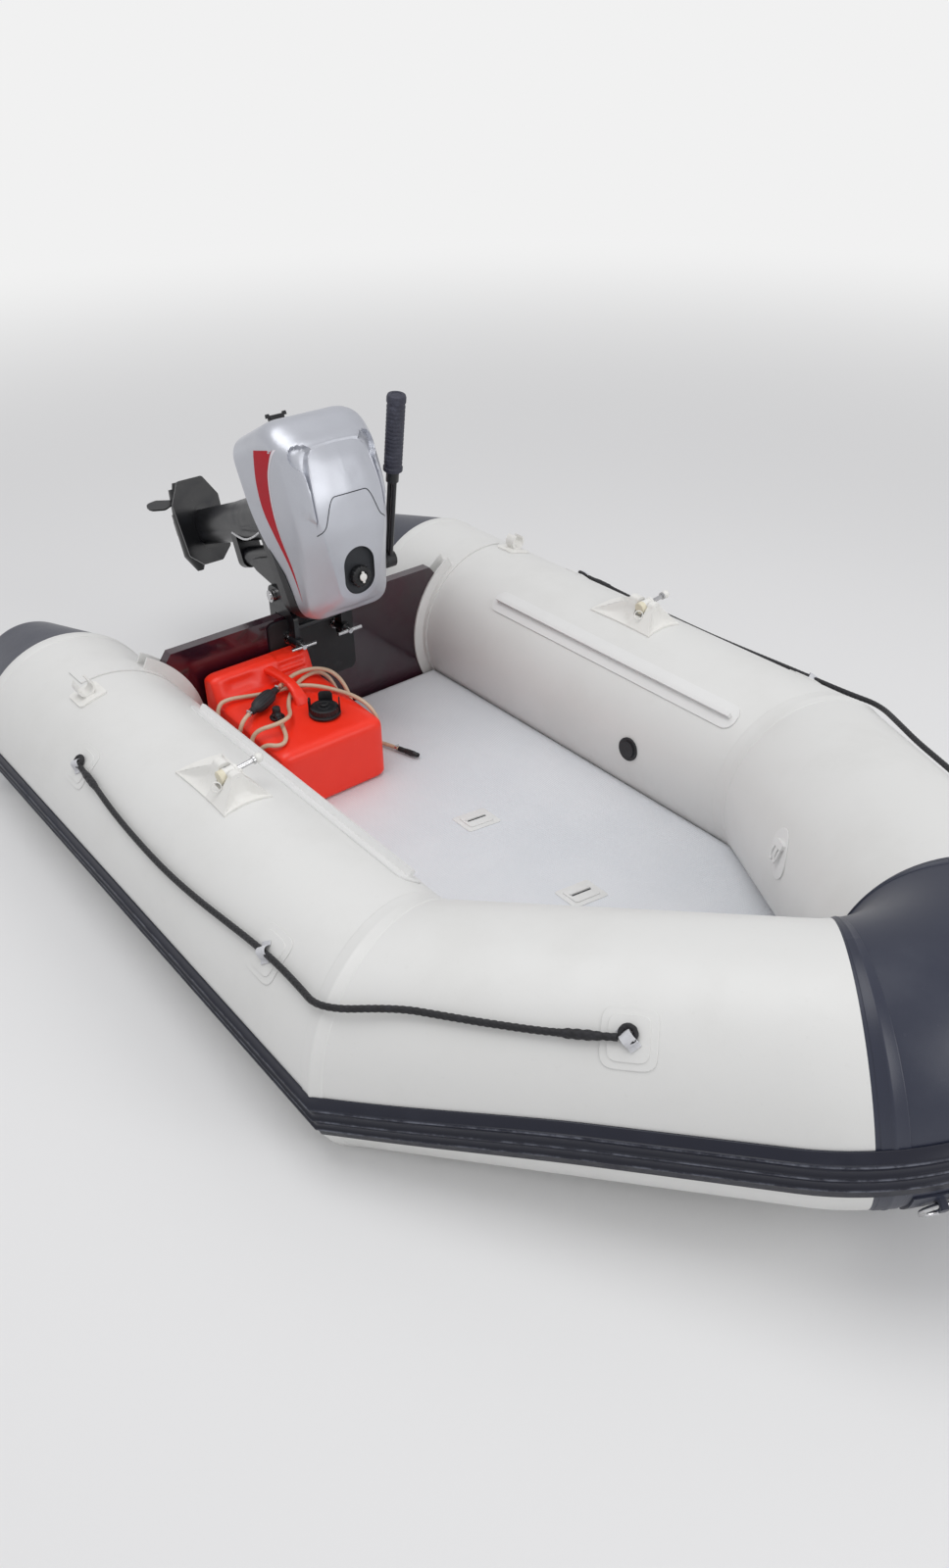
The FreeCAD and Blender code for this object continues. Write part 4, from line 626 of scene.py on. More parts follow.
def rows_into(shell, rows, round_way=False, ends=False, spread=None):
    """Adds a skin through rows of points to a bmesh, closed round each row or at its ends."""
    made = [[shell.verts.new(point) for point in row] for row in rows]
    count = len(rows[0])
    layer = shell.loops.layers.uv.verify() if spread else None
    for index in range(len(rows) - 1):
        for step in range(count if round_way else count - 1):
            after = (step + 1) % count
            corners = ((index, step), (index, after), (index + 1, after), (index + 1, step))
            face = shell.faces.new([made[row][column] for row, column in corners])
            if layer is not None:
                for loop, (row, column) in zip(face.loops, corners):
                    loop[layer].uv = (row / (len(rows) - 1), spread[column])
    if ends:
        shell.faces.new(made[0][::-1])
        shell.faces.new(made[-1])
    return made


def finish_mesh(shell, name, sharp_degrees=40):
    bmesh.ops.recalc_face_normals(shell, faces=shell.faces)
    data = bpy.data.meshes.new(name)
    shell.to_mesh(data)
    shell.free()
    smooth_faces(data, sharp_degrees)
    return data


def skin_mesh(name, rows, round_way=False, ends=False, spread=None, sharp_degrees=40):
    shell = bmesh.new()
    rows_into(shell, rows, round_way, ends, spread)
    return finish_mesh(shell, name, sharp_degrees)


def ease(value):
    """0 to 1 with a soft start and end."""
    value = min(max(value, 0.0), 1.0)
    return value * value * (3 - 2 * value)


print("helpers ready")

# %% [markdown]
# Straight tubes of the same size meet at a mitre, a flat cut through both.
# Along a seam a tape or a strake has to follow that cut, so its place there is worked out:
# a line on the side tube is carried forward until it meets the plane of the mitre.

# %% Mitre


def mitre_point(side, radius, angle):
    """Where a line along the side tube meets the plane of the mitre."""
    line = side_line(side)
    corner = leg_line(side).origin
    normal = (line.along + leg_line(side).along).normalized()
    start = line.around(seam_station, radius, angle)
    return start + line.along * (-(start - corner).dot(normal) / line.along.dot(normal))


def leg_angle(side, angle):
    """The angle round the bow tube that meets an angle round the side tube at the mitre."""
    leg = leg_line(side)
    offset = mitre_point(side, tube_radius, angle) - leg.origin
    return math.degrees(math.atan2(offset.dot(leg.outboard), offset.dot(leg.up)))


print("a line at 98 degrees meets the bow tube at", round(leg_angle(PORT, 98), 1))

# %% [markdown]
# The strake is one moulded band round the outside of the tubes with three raised beads.
# It is swept as a skin: its section is worked out once, then placed along the straight tube,
# the bow tube and the bend of the nose. It is modelled because the beads catch the light.

# %% Rub strake
strake_centre_angle = 98.0
strake_half_angle = 12.5
strake_base = 3.5
bead_rise = 4.4
bead_half_width = 0.034
strake_step = 30.0
twist_span = 0.6
BEAD_SHAPE = ((-1.0, 0.0), (-0.8, 0.45), (-0.4, 0.9), (0.0, 1.0), (0.4, 0.9), (0.8, 0.45), (1.0, 0.0))


def strake_section():
    """Places across the strake, from 0 to 1, with the height of each over the tube."""
    section = [(0.0, 0.0), (0.0, 0.75), (0.012, 1.0)]
    for bead in bead_places:
        for share, rise in BEAD_SHAPE:
            section.append((bead + share * bead_half_width, 1.0 + rise * bead_rise / strake_base))
    return section + [(0.988, 1.0), (1.0, 0.75), (1.0, 0.0)]


def strake_row(line, station, side, turn=0.0, cut=False):
    row = []
    for place, height in strake_section():
        angle = strake_centre_angle + (place - 0.5) * 2 * strake_half_angle
        radius = tube_radius + seat_gap + height * strake_base
        row.append(mitre_point(side, radius, angle) if cut else line.around(station, radius, angle + turn))
    return row


def side_strake(side):
    line = side_line(side)
    leg = leg_line(side)
    twist = leg_angle(side, strake_centre_angle) - strake_centre_angle
    joint = mitre_point(side, tube_radius, strake_centre_angle)
    overlap = (joint - line.around(seam_station, tube_radius, strake_centre_angle)).x
    rows = []
    station = cone_station
    while station < seam_station + overlap / MM - strake_step * 0.5:
        rows.append(strake_row(line, station, side))
        station += strake_step
    rows.append(strake_row(line, 0, side, cut=True))
    station = -overlap / MM + strake_step
    while station < leg_length:
        share = 1 - ease(station / (leg_length * twist_span))
        rows.append(strake_row(leg, station, side, twist * share))
        station += strake_step
    rows.append(strake_row(leg, leg_length, side))
    return rows


def nose_strake():
    turns = 36
    headings = [bend_half_angle * 2 * turn / turns for turn in range(turns + 1)]
    return [strake_row(nose_line(heading), 0, PORT) for heading in headings]


across = [place for place, _ in strake_section()]
for name, side in SIDES:
    data = skin_mesh("strake_" + name, side_strake(side), spread=across, sharp_degrees=75)
    data.uv_layers[0].name = "band"
    add_piece("strake_" + name, data, "hull", strake_skin, "strake", ["rub_strake_" + name])
data = skin_mesh("strake_bow", nose_strake(), spread=across, sharp_degrees=75)
data.uv_layers[0].name = "band"
add_piece("strake_bow", data, "hull", strake_skin, "strake", ["rub_strake_bow"])
print("strake faces", len(data.polygons))

# %% [markdown]
# Where two panels of cloth meet, a tape is glued over the joint, and its edges show as fine lines.
# Each tape is a thin strip round the tube with rounded edges and a low welt along its middle.
# It follows the mitre, or a plain section of the tube, or a section of the round nose.

# %% Seam tapes
tape_thick = 0.9
welt_rise = 0.8
tape_turns = 96
mitre_tape_width = 46.0
stern_tape_width = 30.0
stern_tape_shift = 12.0
nose_tape_width = 34.0
nose_tape_shift = 3.5
nose_tape_share = 0.6
# place across the tape from -1 to 1, share of the thickness, share of the welt
TAPE_SECTION = (
    (-1.0, -0.4, 0), (-0.97, 0.7, 0), (-0.9, 1, 0), (-0.22, 1, 0), (-0.13, 1, 0.8),
    (0.0, 1, 1), (0.13, 1, 0.8), (0.22, 1, 0), (0.9, 1, 0), (0.97, 0.7, 0), (1.0, -0.4, 0),
)


def tape_rows(place_at, width, welt=1.0):
    """Rows round the tube; place_at gives a point for an angle, a reach and a radius."""
    rows = []
    for turn in range(tape_turns):
        angle = 360 * turn / tape_turns
        row = []
        for share, rise, welted in TAPE_SECTION:
            radius = tube_radius + tape_thick * rise + welt_rise * welted * welt
            row.append(place_at(angle, share * width / 2, radius))
        rows.append(row)
    return rows + [rows[0]]


def on_mitre(side):
    line = side_line(side)
    leg = leg_line(side)

    def place(angle, reach, radius):
        root = mitre_point(side, radius, angle)
        return root + (line.along if reach < 0 else leg.along) * reach * MM

    return place


def on_tube(line, station):
    return lambda angle, reach, radius: line.around(station + reach, radius, angle)


def on_nose(turn):
    def place(angle, reach, radius):
        heading = turn + math.degrees(reach / nose_bend_radius) * nose_tape_share
        return nose_line(heading).around(0, radius, angle)

    return place


def add_tape(name, place, width, material, slot, welt=1.0):
    rows = tape_rows(place, width, welt)
    data = skin_mesh(name, rows, sharp_degrees=60)
    return add_piece(name, data, "hull", material, slot)


for name, side in SIDES:
    add_tape("mitre_tape_" + name, on_mitre(side), mitre_tape_width, grey_cloth, "tube_grey")
    stern = on_tube(side_line(side), cone_station + stern_tape_shift)
    add_tape("stern_tape_" + name, stern, stern_tape_width, grey_cloth, "tube_grey", 0.4)
nose_joints = (nose_grey_angle, 2 * bend_half_angle - nose_grey_angle)
for name, turn, inward in (("port", nose_joints[0], 1), ("starboard", nose_joints[1], -1)):
    bow = on_nose(turn + inward * nose_tape_shift)
    add_tape("nose_tape_" + name, bow, nose_tape_width, navy_cloth, "navy", 1.4)
print("tapes", 3 * len(SIDES))

# %% [markdown]
# The grab lines run along the outside of the tubes between glued patches.
# A free line is a fixed length of rope: its route is a short list of stations and angles,
# the same list as in the drawing, and one smooth NURBS line passes near those points.

# %% Routes of ropes and hoses
line_radius = 6.0
patch_thick = 1.6
line_lift = tube_radius + 2 * seat_gap + 2 * patch_thick + line_radius
# on the bow leg or not, station, angle from the top of the tube, lift over the usual height
LINE_ROUTE = (
    (False, 276.8, 46.0, 0.0),
    (False, 350.0, 47.5, 0.0),
    (False, 450.0, 50.5, 0.0),
    (False, 560.0, 52.0, 0.0),
    (False, 680.0, 52.5, 0.0),
    (False, 790.0, 51.0, 0.0),
    (False, 890.0, 48.5, 0.0),
    (False, 970.0, 46.5, 0.0),
    (False, 1040.0, 45.5, 0.0),
    (False, 1110.0, 45.5, 2.0),
    (False, 1180.0, 46.0, 7.0),
    (True, 100.0, 46.5, 4.0),
    (True, 175.0, 48.0, 0.0),
    (True, 260.0, 49.5, 0.0),
    (True, 350.0, 50.5, 0.0),
    (True, 437.4, 50.0, 0.0),
)


def tube_part(side, on_leg):
    return leg_line(side) if on_leg else side_line(side)


def route_curve(name, points, radius=0.0):
    """A smooth line through the room of its control points, with a round section if asked."""
    data = bpy.data.curves.new(name, "CURVE")
    data.dimensions = "3D"
    data.resolution_u = 10
    spline = data.splines.new("NURBS")
    spline.points.add(len(points) - 1)
    for control, point in zip(spline.points, points):
        control.co = (*point, 1)
    spline.order_u = 3
    spline.use_endpoint_u = True
    data.bevel_depth = radius * MM
    data.bevel_resolution = 5
    data.use_fill_caps = radius > 0
    return data


def centre_points(name, points):
    """Points read along the smooth line of a route."""
    holder = bpy.data.objects.new(name + "_centre", route_curve(name + "_centre", points))
    mesh = bpy.data.meshes.new_from_object(holder)
    found = [vertex.co.copy() for vertex in mesh.vertices]
    bpy.data.objects.remove(holder)
    return found


def run_length(points):
    return sum((b - a).length for a, b in zip(points, points[1:]))


def even_points(points, step):
    """The same line with its points an even step apart."""
    total = run_length(points)
    count = max(2, round(total / step))
    found = [points[0]]
    index = 0
    walked = 0.0
    for number in range(1, count):
        goal = total * number / count
        while walked + (points[index + 1] - points[index]).length < goal:
            walked += (points[index + 1] - points[index]).length
            index += 1
        run = points[index + 1] - points[index]
        found.append(points[index] + run * ((goal - walked) / run.length))
    return found + [points[-1]]


def frames_along(points):
    """A side and an up direction at each point, turning as little as they can."""
    found = []
    side = None
    for index, point in enumerate(points):
        ahead = (points[min(index + 1, len(points) - 1)] - points[max(index - 1, 0)]).normalized()
        if side is None:
            side = ahead.cross(Vector((0, 0, 1))).normalized()
        side = (side - ahead * side.dot(ahead)).normalized()
        found.append((side.copy(), ahead.cross(side).normalized()))
    return found


print("line lift", round(line_lift, 1))

# %% [markdown]
# Braided rope has yarns wound both ways round it that pass over and under each other.
# Its surface is a tube whose radius rises and falls along two sets of screw lines.
# Real geometry is used, since the edge of a rope is bumpy and a bump map can't show that.

# %% Braided rope
braid_strands = 4
braid_angle = math.radians(40)
braid_depth = 0.13
braid_step = 0.0016
braid_sides = 20


def braid_rows(points, radius, depth=braid_depth):
    points = even_points(points, braid_step)
    frames = frames_along(points)
    wave = braid_strands * math.tan(braid_angle) / (radius * MM)
    rows = []
    walked = 0.0
    for index, (point, (side, up)) in enumerate(zip(points, frames)):
        if index:
            walked += (point - points[index - 1]).length
        row = []
        for turn in range(braid_sides):
            angle = 2 * math.pi * turn / braid_sides
            twist = braid_strands * angle
            crest = max(math.cos(twist + wave * walked), math.cos(twist - wave * walked))
            reach = radius * MM * (1 - depth + depth * crest)
            row.append(point + side * math.cos(angle) * reach + up * math.sin(angle) * reach)
        rows.append(row)
    return rows


def rope_mesh(name, rows):
    """A rope's skin; every crease of the braid stays smooth."""
    return skin_mesh(name, rows, round_way=True, ends=True, sharp_degrees=80)


grab_lines = {}
for name, side in SIDES:
    route = [
        tube_part(side, on_leg).around(station, line_lift + lift, angle)
        for on_leg, station, angle, lift in LINE_ROUTE
    ]
    centre = centre_points("lifeline_" + name, route)
    data = rope_mesh("grab_line_" + name, braid_rows(centre, line_radius))
    rope = add_piece("grab_line_" + name, data, "hull", black_yarn, "line_black", ["lifeline_" + name])
    grab_lines[name] = (rope, centre)
print("grab line", round(run_length(centre), 3), "m, faces", len(rope.data.polygons))

# %% [markdown]
# The motor is set out upright about its tilt pin and then parked tipped forward into the boat.
# A point given upright, x forward, y to port and z up from the pin, is turned and carried there.
# Every part of the motor made here goes through this one step.

# %% The motor's own frame
parked_tilt = math.radians(70)
tilt_axis = at(-5, 0, 450)
PARKED = Matrix.Translation(tilt_axis) @ Matrix.Rotation(parked_tilt, 4, "Y")


def on_motor(x, y, z):
    return PARKED @ Vector((x * MM, y * MM, z * MM))


def motor_way(x, y, z):
    """A direction of the upright motor, turned as the motor is parked."""
    return (PARKED.to_3x3() @ Vector((x, y, z))).normalized()


def rounded_path(corners, steps):
    """Points along straight runs whose corners are turned by a short curve."""
    found = []
    here = corners[0][0]
    for index in range(1, len(corners)):
        corner, reach = corners[index]
        if index == len(corners) - 1:
            count = steps[-1]
            return found + [here.lerp(corner, step / count) for step in range(count + 1)]
        back = corners[index - 1][0] - corner
        ahead = corners[index + 1][0] - corner
        stop = corner + back.normalized() * min(reach, back.length * 0.48)
        follow = corner + ahead.normalized() * min(reach, ahead.length * 0.48)
        run, turn = steps[2 * index - 2], steps[2 * index - 1]
        found += [here.lerp(stop, step / run) for step in range(run)]
        for step in range(turn):
            share = step / turn
            found.append(stop.lerp(corner, share).lerp(corner.lerp(follow, share), share))
        here = follow


print("tilt pin at", [round(v, 4) for v in tilt_axis])

# %% [markdown]
# The cowl is a moulded shell: upright walls, a shoulder all round, a slanting band and a flat top panel.
# Each level of it is an outline with rounded corners, written for one half only and mirrored.
# A path rounded at its corners serves twice, along each outline and then up through the levels.
# That keeps the edges crisp where the mould is crisp and soft where it is soft.

# %% Cowl levels
# rear middle, rear corner, three side points, front corner, front middle: x, half width, height, rounding
COWL_LEVELS = (
    ((-372, 0, 106, 0), (-372, 128, 106, 60), (-205, 122, 107, 40), (-130, 117, 125, 30),
     (-50, 110, 167, 30), (59, 106, 185, 44), (59, 0, 185, 0)),
    ((-388, 0, 250, 0), (-388, 130, 250, 62), (-205, 120, 250, 40), (-130, 116, 250, 30),
     (-50, 112, 244, 30), (60, 106, 214, 42), (60, 0, 214, 0)),
    ((-377, 0, 282, 0), (-376, 128, 282, 60), (-205, 120.5, 282, 40), (-130, 116, 276, 30),
     (-50, 109, 256, 30), (55, 101, 226, 40), (57, 0, 226, 0)),
    ((-352, 0, 306, 0), (-349, 120, 306, 56), (-205, 119, 306, 40), (-130, 114, 296, 30),
     (-50, 104, 266, 30), (46, 92, 238, 36), (49, 0, 240, 0)),
    ((-333, 0, 326, 0), (-331, 96, 326, 44), (-205, 102, 329, 40), (-130, 98, 316, 30),
     (-50, 84, 290, 30), (38, 72, 256, 34), (43, 0, 257, 0)),
    ((-318, 0, 341, 0), (-314, 75, 341, 34), (-205, 87, 346, 40), (-130, 84, 332, 26),
     (-50, 66, 309, 30), (28, 51, 274, 28), (36, 0, 270, 0)),
    ((-313, 0, 343, 0), (-309, 71, 343, 32), (-205, 84, 349, 40), (-130, 81, 334.5, 26),
     (-50, 63, 311.5, 30), (22, 48, 281, 26), (30, 0, 277, 0)),
    ((-280, 0, 352, 0), (-276, 46, 351, 26), (-205, 52, 353, 30), (-130, 50, 338, 20),
     (-50, 40, 315, 20), (2, 30, 298, 18), (8, 0, 296, 0)),
    ((-240, 0, 354.5, 0), (-238, 6, 354.5, 3), (-205, 7, 354.2, 6), (-130, 7, 339.2, 6),
     (-50, 6, 316.2, 6), (-22, 4, 307.5, 2), (-20, 0, 307, 0)),
)
LEVEL_ROUNDING = (0, 20, 14, 9, 4, 2.6, 2.6, 12, 0)
OUTLINE_STEPS = (8, 12, 14, 5, 10, 5, 12, 5, 10, 10, 8)
COLUMN_STEPS = (14, 3, 4, 4, 4, 6, 9, 6, 9, 4, 3, 4, 9, 6, 8)
crest_level, edge_level = 3, 6


def level_outline(level):
    return rounded_path([(Vector(corner[:3]), corner[3]) for corner in level], OUTLINE_STEPS)


print("levels", len(COWL_LEVELS), "points round half a level", sum(OUTLINE_STEPS) + 1)

# %% [markdown]
# A hand grip is moulded into each rear shoulder: a pocket that narrows to a groove beside the top panel.
# Outside it the shoulder swells into an arm that ends forward in a soft lip.
# Both are offsets of the smooth shell, worked out from where a point lies as seen from above.

# %% Pockets and lips
# outline of a hand pocket, x and half width
POCKET = (
    (-322, 100), (-308, 108), (-292, 109), (-279, 103), (-268, 94), (-258, 90), (-222, 89), (-186, 90),
    (-152, 90), (-146, 85), (-202, 85.5), (-262, 80), (-292, 72), (-308, 60), (-318, 68), (-324, 84),
)
pocket_depth = 15.0
pocket_wall = 5.0
arm_swell = 10.0
arm_rear = -345.0
arm_rear_soft = 40.0
lip_station = -198.0
lip_side = 115.0
lip_slant = 1.63
lip_soft = 9.0


def inside_distance(x, y, outline):
    """How far a point lies inside an outline, or 0 outside it."""
    point = Vector((x, y))
    inside = False
    nearest = math.inf
    for index, start in enumerate(outline):
        start = Vector(start)
        stop = Vector(outline[(index + 1) % len(outline)])
        crossed = (start.y > y) != (stop.y > y)
        if crossed and x < (stop.x - start.x) * (y - start.y) / (stop.y - start.y) + start.x:
            inside = not inside
        run = stop - start
        share = min(max((point - start).dot(run) / run.length_squared, 0), 1)
        nearest = min(nearest, (point - start - run * share).length)
    return nearest if inside else 0.0


def mould(point, band_share):
    """Adds the arm, its lip and the pocket to a point of the smooth shell."""
    lip_x = lip_station + (lip_side - point.y) * lip_slant
    aft = 1 - ease((point.x - lip_x) / lip_soft + 0.5)
    rear = ease((point.x - arm_rear) / arm_rear_soft)
    raised = arm_swell * math.sin(math.pi * band_share) * aft * rear if 0 < band_share < 1 else 0.0
    sunk = pocket_depth * ease(inside_distance(point.x, point.y, POCKET) / pocket_wall)
    return Vector((point.x, point.y, point.z + raised - sunk))


def cowl_columns():
    outlines = [level_outline(level) for level in COWL_LEVELS]
    columns = []
    for place in range(len(outlines[0])):
        corners = [(outline[place], rounding) for outline, rounding in zip(outlines, LEVEL_ROUNDING)]
        crest = corners[crest_level][0]
        across = corners[edge_level][0] - crest
        column = rounded_path(corners, COLUMN_STEPS)
        shares = [(point - crest).dot(across) / across.length_squared for point in column]
        columns.append([mould(point, share) for point, share in zip(column, shares)])
    return columns


def bridge(shell, ring, half_count):
    """Closes a ring that is its own mirror image with faces straight across it."""
    for index in range(half_count - 1):
        corners = [ring[index], ring[index + 1], ring[-index - 1], ring[-index]]
        unique = [corner for place, corner in enumerate(corners) if corner not in corners[:place]]
        shell.faces.new(unique)


def cowl_mesh():
    columns = cowl_columns()
    rows = []
    for height in range(len(columns[0])):
        starboard = [on_motor(column[height].x, -column[height].y, column[height].z) for column in columns]
        port = [on_motor(column[height].x, column[height].y, column[height].z) for column in columns[-2:0:-1]]
        rows.append(starboard + port)
    shell = bmesh.new()
    made = rows_into(shell, rows, round_way=True)
    bridge(shell, made[0], len(columns))
    bridge(shell, made[-1], len(columns))
    return finish_mesh(shell, "cowl_shell", 50)


print("pocket corners", len(POCKET), "points up the shell", sum(COLUMN_STEPS) + 1)

# %% [markdown]
# The fuel cap sits in an oval recess. The recess is cut with a solid tool, so its wall is sharp and upright.
# The tool's own dark finish goes to the faces that it cuts.

# %% Cut the recess
cap_tilt = math.radians(15.5)
recess_middle = (-33, 0, 305.0)
recess_half_length = 56.0
recess_half_width = 40.0
recess_floor = -7.2
recess_corner = 3.0
oval_turns = 24
SLOPE = Vector((math.cos(cap_tilt), 0, -math.sin(cap_tilt)))
SLOPE_UP = Vector((math.sin(cap_tilt), 0, math.cos(cap_tilt)))


def on_slope(u, v, lift, middle=recess_middle):
    """A place on the cowl's sloping top: along it, across it and above it."""
    point = Vector(middle) + SLOPE * u + Vector((0, v, 0)) + SLOPE_UP * lift
    return on_motor(*point)


def oval(half_length, half_width, lift):
    """A row of points round a slot with round ends."""
    row = []
    for turn in range(2 * oval_turns):
        angle = math.pi * turn / oval_turns
        end = math.copysign(half_length - half_width, math.cos(angle))
        row.append(on_slope(end + half_width * math.cos(angle), half_width * math.sin(angle), lift))
    return row


def cut_with(data, tool_data):
    body = bpy.data.objects.new("cut_body", data)
    tool = bpy.data.objects.new("cut_tool", tool_data)
    for item in (body, tool):
        bpy.context.scene.collection.objects.link(item)
    modifier = body.modifiers.new("cut", "BOOLEAN")
    modifier.operation = "DIFFERENCE"
    modifier.solver = "EXACT"
    modifier.material_mode = "TRANSFER"
    modifier.object = tool
    made = bpy.data.meshes.new_from_object(body.evaluated_get(bpy.context.evaluated_depsgraph_get()))
    bpy.data.objects.remove(body)
    bpy.data.objects.remove(tool)
    return made


shell_data = cowl_mesh()
shell_data.materials.append(silver_skin)
tool_rows = [
    oval(recess_half_length - recess_corner, recess_half_width - recess_corner, recess_floor),
    oval(recess_half_length, recess_half_width, recess_floor + recess_corner),
    oval(recess_half_length + 1, recess_half_width + 1, 60),
]
tool_data = skin_mesh("recess_tool", tool_rows, round_way=True, ends=True)
tool_data.materials.append(recess_black)
cowl_data = cut_with(shell_data, tool_data)
smooth_faces(cowl_data, 38)
add_piece("cowl_shell", cowl_data, "motor", None, "cowl_silver", ["engine_cowl"])
cowl_tree = BVHTree.FromPolygons(
    [vertex.co for vertex in cowl_data.vertices], [face.vertices[:] for face in cowl_data.polygons],
)
print("cowl faces", len(cowl_data.polygons), [slot.name for slot in cowl_data.materials])

# %% [markdown]
# A red stripe sweeps along each side, with a thin pale edge, and a dark joint line crosses the top.
# They are laid on by casting rays at the shell, so they follow every curve of it.

# %% Stripe and joint line
# lower and upper edge of the stripe on the wall, x and height
STRIPE_LOW = (
    (-335, 214), (-300, 193), (-262, 176), (-205, 166), (-140, 184), (-76, 204), (-17, 209), (8, 208),
)
STRIPE_HIGH = (
    (-326, 290), (-300, 262), (-272, 236), (-205, 210), (-138, 205), (-72, 216), (-18, 212), (8, 209),
)
# one half of the joint line on the top, from the middle outward, x and half width
JOINT = ((-203, 0), (-203, 30), (-203, 44), (-188, 54), (-166, 62), (-144, 70), (-136, 79), (-131, 90))
film_lift = 0.25 * MM
joint_width = 2.2
beside_cowl = 300.0
above_cowl = 420.0


def laid_on(start, way):
    hit, normal = cowl_tree.ray_cast(start, way)[:2]
    return hit + normal * film_lift


def smooth_pairs(table):
    """The same table with many rows on a smooth curve, as pairs."""
    return [(point.x, point.y) for point in centre_points("table", [Vector((x, y, 0)) for x, y in table])]


def side_film(name, side, low, high, first, last, material):
    rows = []
    for (low_x, low_z), (high_x, high_z) in zip(smooth_pairs(low), smooth_pairs(high)):
        row = []
        for step in range(5):
            share = first + (last - first) * step / 4
            x, z = low_x + (high_x - low_x) * share, low_z + (high_z - low_z) * share
            row.append(laid_on(on_motor(x, side * beside_cowl, z), motor_way(0, -side, 0)))
        rows.append(row)
    return add_piece(name, skin_mesh(name, rows), "motor", material, "cowl_silver")


def joint_line():
    half = smooth_pairs(JOINT)
    path = [Vector((x, -y, 0)) for x, y in half[:0:-1]] + [Vector((x, y, 0)) for x, y in half]
    rows = []
    for index, point in enumerate(path):
        ahead = (path[min(index + 1, len(path) - 1)] - path[max(index - 1, 0)]).normalized()
        side = Vector((-ahead.y, ahead.x, 0)) * joint_width / 2
        row = []
        for share in (-1, 0, 1):
            place = point + side * share
            row.append(laid_on(on_motor(place.x, place.y, above_cowl), motor_way(0, 0, -1)))
        rows.append(row)
    return rows


for name, side in SIDES:
    side_film("cowl_stripe_" + name, side, STRIPE_LOW, STRIPE_HIGH, 0.0, 1.0, red_decal)
    side_film("stripe_edge_" + name, side, STRIPE_LOW, STRIPE_HIGH, 1.04, 1.12, pale_decal)
add_piece("cowl_joint_line", skin_mesh("cowl_joint_line", joint_line()), "motor", dark_line, "cowl_silver")
print("films laid on the cowl")

# %% [markdown]
# Round parts such as caps, knobs and bulbs are turned from a short profile of radius and height.
# A ripple round the profile gives the flutes that fingers grip.

# %% Turned parts


def turned(name, origin, axis, profile, sides=48, flutes=0, depth=0.0):
    """A turned part; a profile row is radius, height and, if wanted, a share of the flutes."""
    axis = axis.normalized()
    across = axis.orthogonal().normalized()
    other = axis.cross(across)
    rows = []
    for radius, height, *share in profile:
        row = []
        for side in range(sides):
            angle = 2 * math.pi * side / sides
            reach = radius
            if share:
                reach -= depth * share[0] * (0.5 - 0.5 * math.cos(flutes * angle)) ** 0.6
            out = across * math.cos(angle) + other * math.sin(angle)
            row.append(origin + axis * height * MM + out * reach * MM)
        rows.append(row)
    return skin_mesh(name, rows, round_way=True, ends=True, sharp_degrees=35)


def joined_mesh(name, meshes):
    """Several meshes as one, each keeping its own smooth and sharp edges."""
    shell = bmesh.new()
    for data in meshes:
        shell.from_mesh(data)
    data = bpy.data.meshes.new(name)
    shell.to_mesh(data)
    shell.free()
    return data


def add_joined(name, meshes, *ways):
    return add_piece(name, joined_mesh(name, meshes), *ways)


cap_shift = 13.0
cap_foot = on_slope(cap_shift, 0, -6.9)
slope_way = motor_way(*SLOPE_UP)
CAP_PROFILE = (
    (10, 0.2), (21, 0.2), (22, 1.5), (22, 3), (24.4, 3.4, 1), (25, 5, 1), (25, 15, 1), (24.2, 17, 1),
    (22, 18.2), (14, 18.4), (13.2, 17.2), (9.5, 17), (9, 19.4), (5, 19.8),
)
VENT_PROFILE = ((8.5, 20), (8.8, 20.6), (8.8, 23.4), (8, 24.4), (3, 24.7))
cap_data = turned("motor_fuel_cap", cap_foot, slope_way, CAP_PROFILE, sides=144, flutes=18, depth=1.6)
add_piece("motor_fuel_cap", cap_data, "motor", black_plastic, "black_plastic", ["cowl_fuel_cap"])


def vent_screw():
    parts = [turned("vent_disc", cap_foot, slope_way, VENT_PROFILE)]
    middle = Vector(recess_middle) + SLOPE * cap_shift
    for end in (-1, 1):
        rows = []
        for reach, half in ((6, 3.4), (9, 3.0), (12, 2.4), (13.2, 1.4)):
            corners = ((-half, 13.4), (half, 13.4), (half, 17.2), (-half, 17.2))
            rows.append([on_slope(end * reach, v, lift, tuple(middle)) for v, lift in corners])
        parts.append(skin_mesh("vent_wing", rows, round_way=True, ends=True))
    return joined_mesh("vent_screw", parts)


add_piece("vent_screw", vent_screw(), "motor", white_plastic, "white_plastic")
print("cap on the cowl")

# %% [markdown]
# The fuel hose leaves an elbow on the tank, hangs down beside it, crosses under the handle,
# makes a loop at each side and comes back to the primer bulb. A second length goes on from
# the bulb to the connector on the deck. Both keep the routes and lengths of the drawing.

# %% Fuel hoses
hose_radius = 5.0
HOSE_ROUTE = (
    (282, -247, 291), (310, -256, 289), (337, -266, 285.5), (355, -282, 283), (356, -301, 284),
    (336, -316, 284), (312, -325, 262), (302, -328, 222), (296, -333, 180), (272, -335, 146),
    (230, -335, 138), (190, -335, 142), (156, -334, 165), (140, -331, 212), (131, -329, 260),
    (124, -318, 294), (124, -290, 298), (132, -248, 293), (146, -208, 291.5), (160, -176, 295),
    (174, -144, 301.5), (198, -104, 299), (238, -68, 290), (288, -50, 288.5), (330, -38, 277),
    (350, -28, 242), (341, -26, 200), (310, -26, 170), (270, -26, 174), (242, -26, 210),
    (230, -27, 254), (212, -33, 290), (184, -44, 310), (154, -64, 313), (134, -92, 308),
    (130, -122, 303), (144, -144, 303), (158, -166, 307), (170, -190, 306),
)
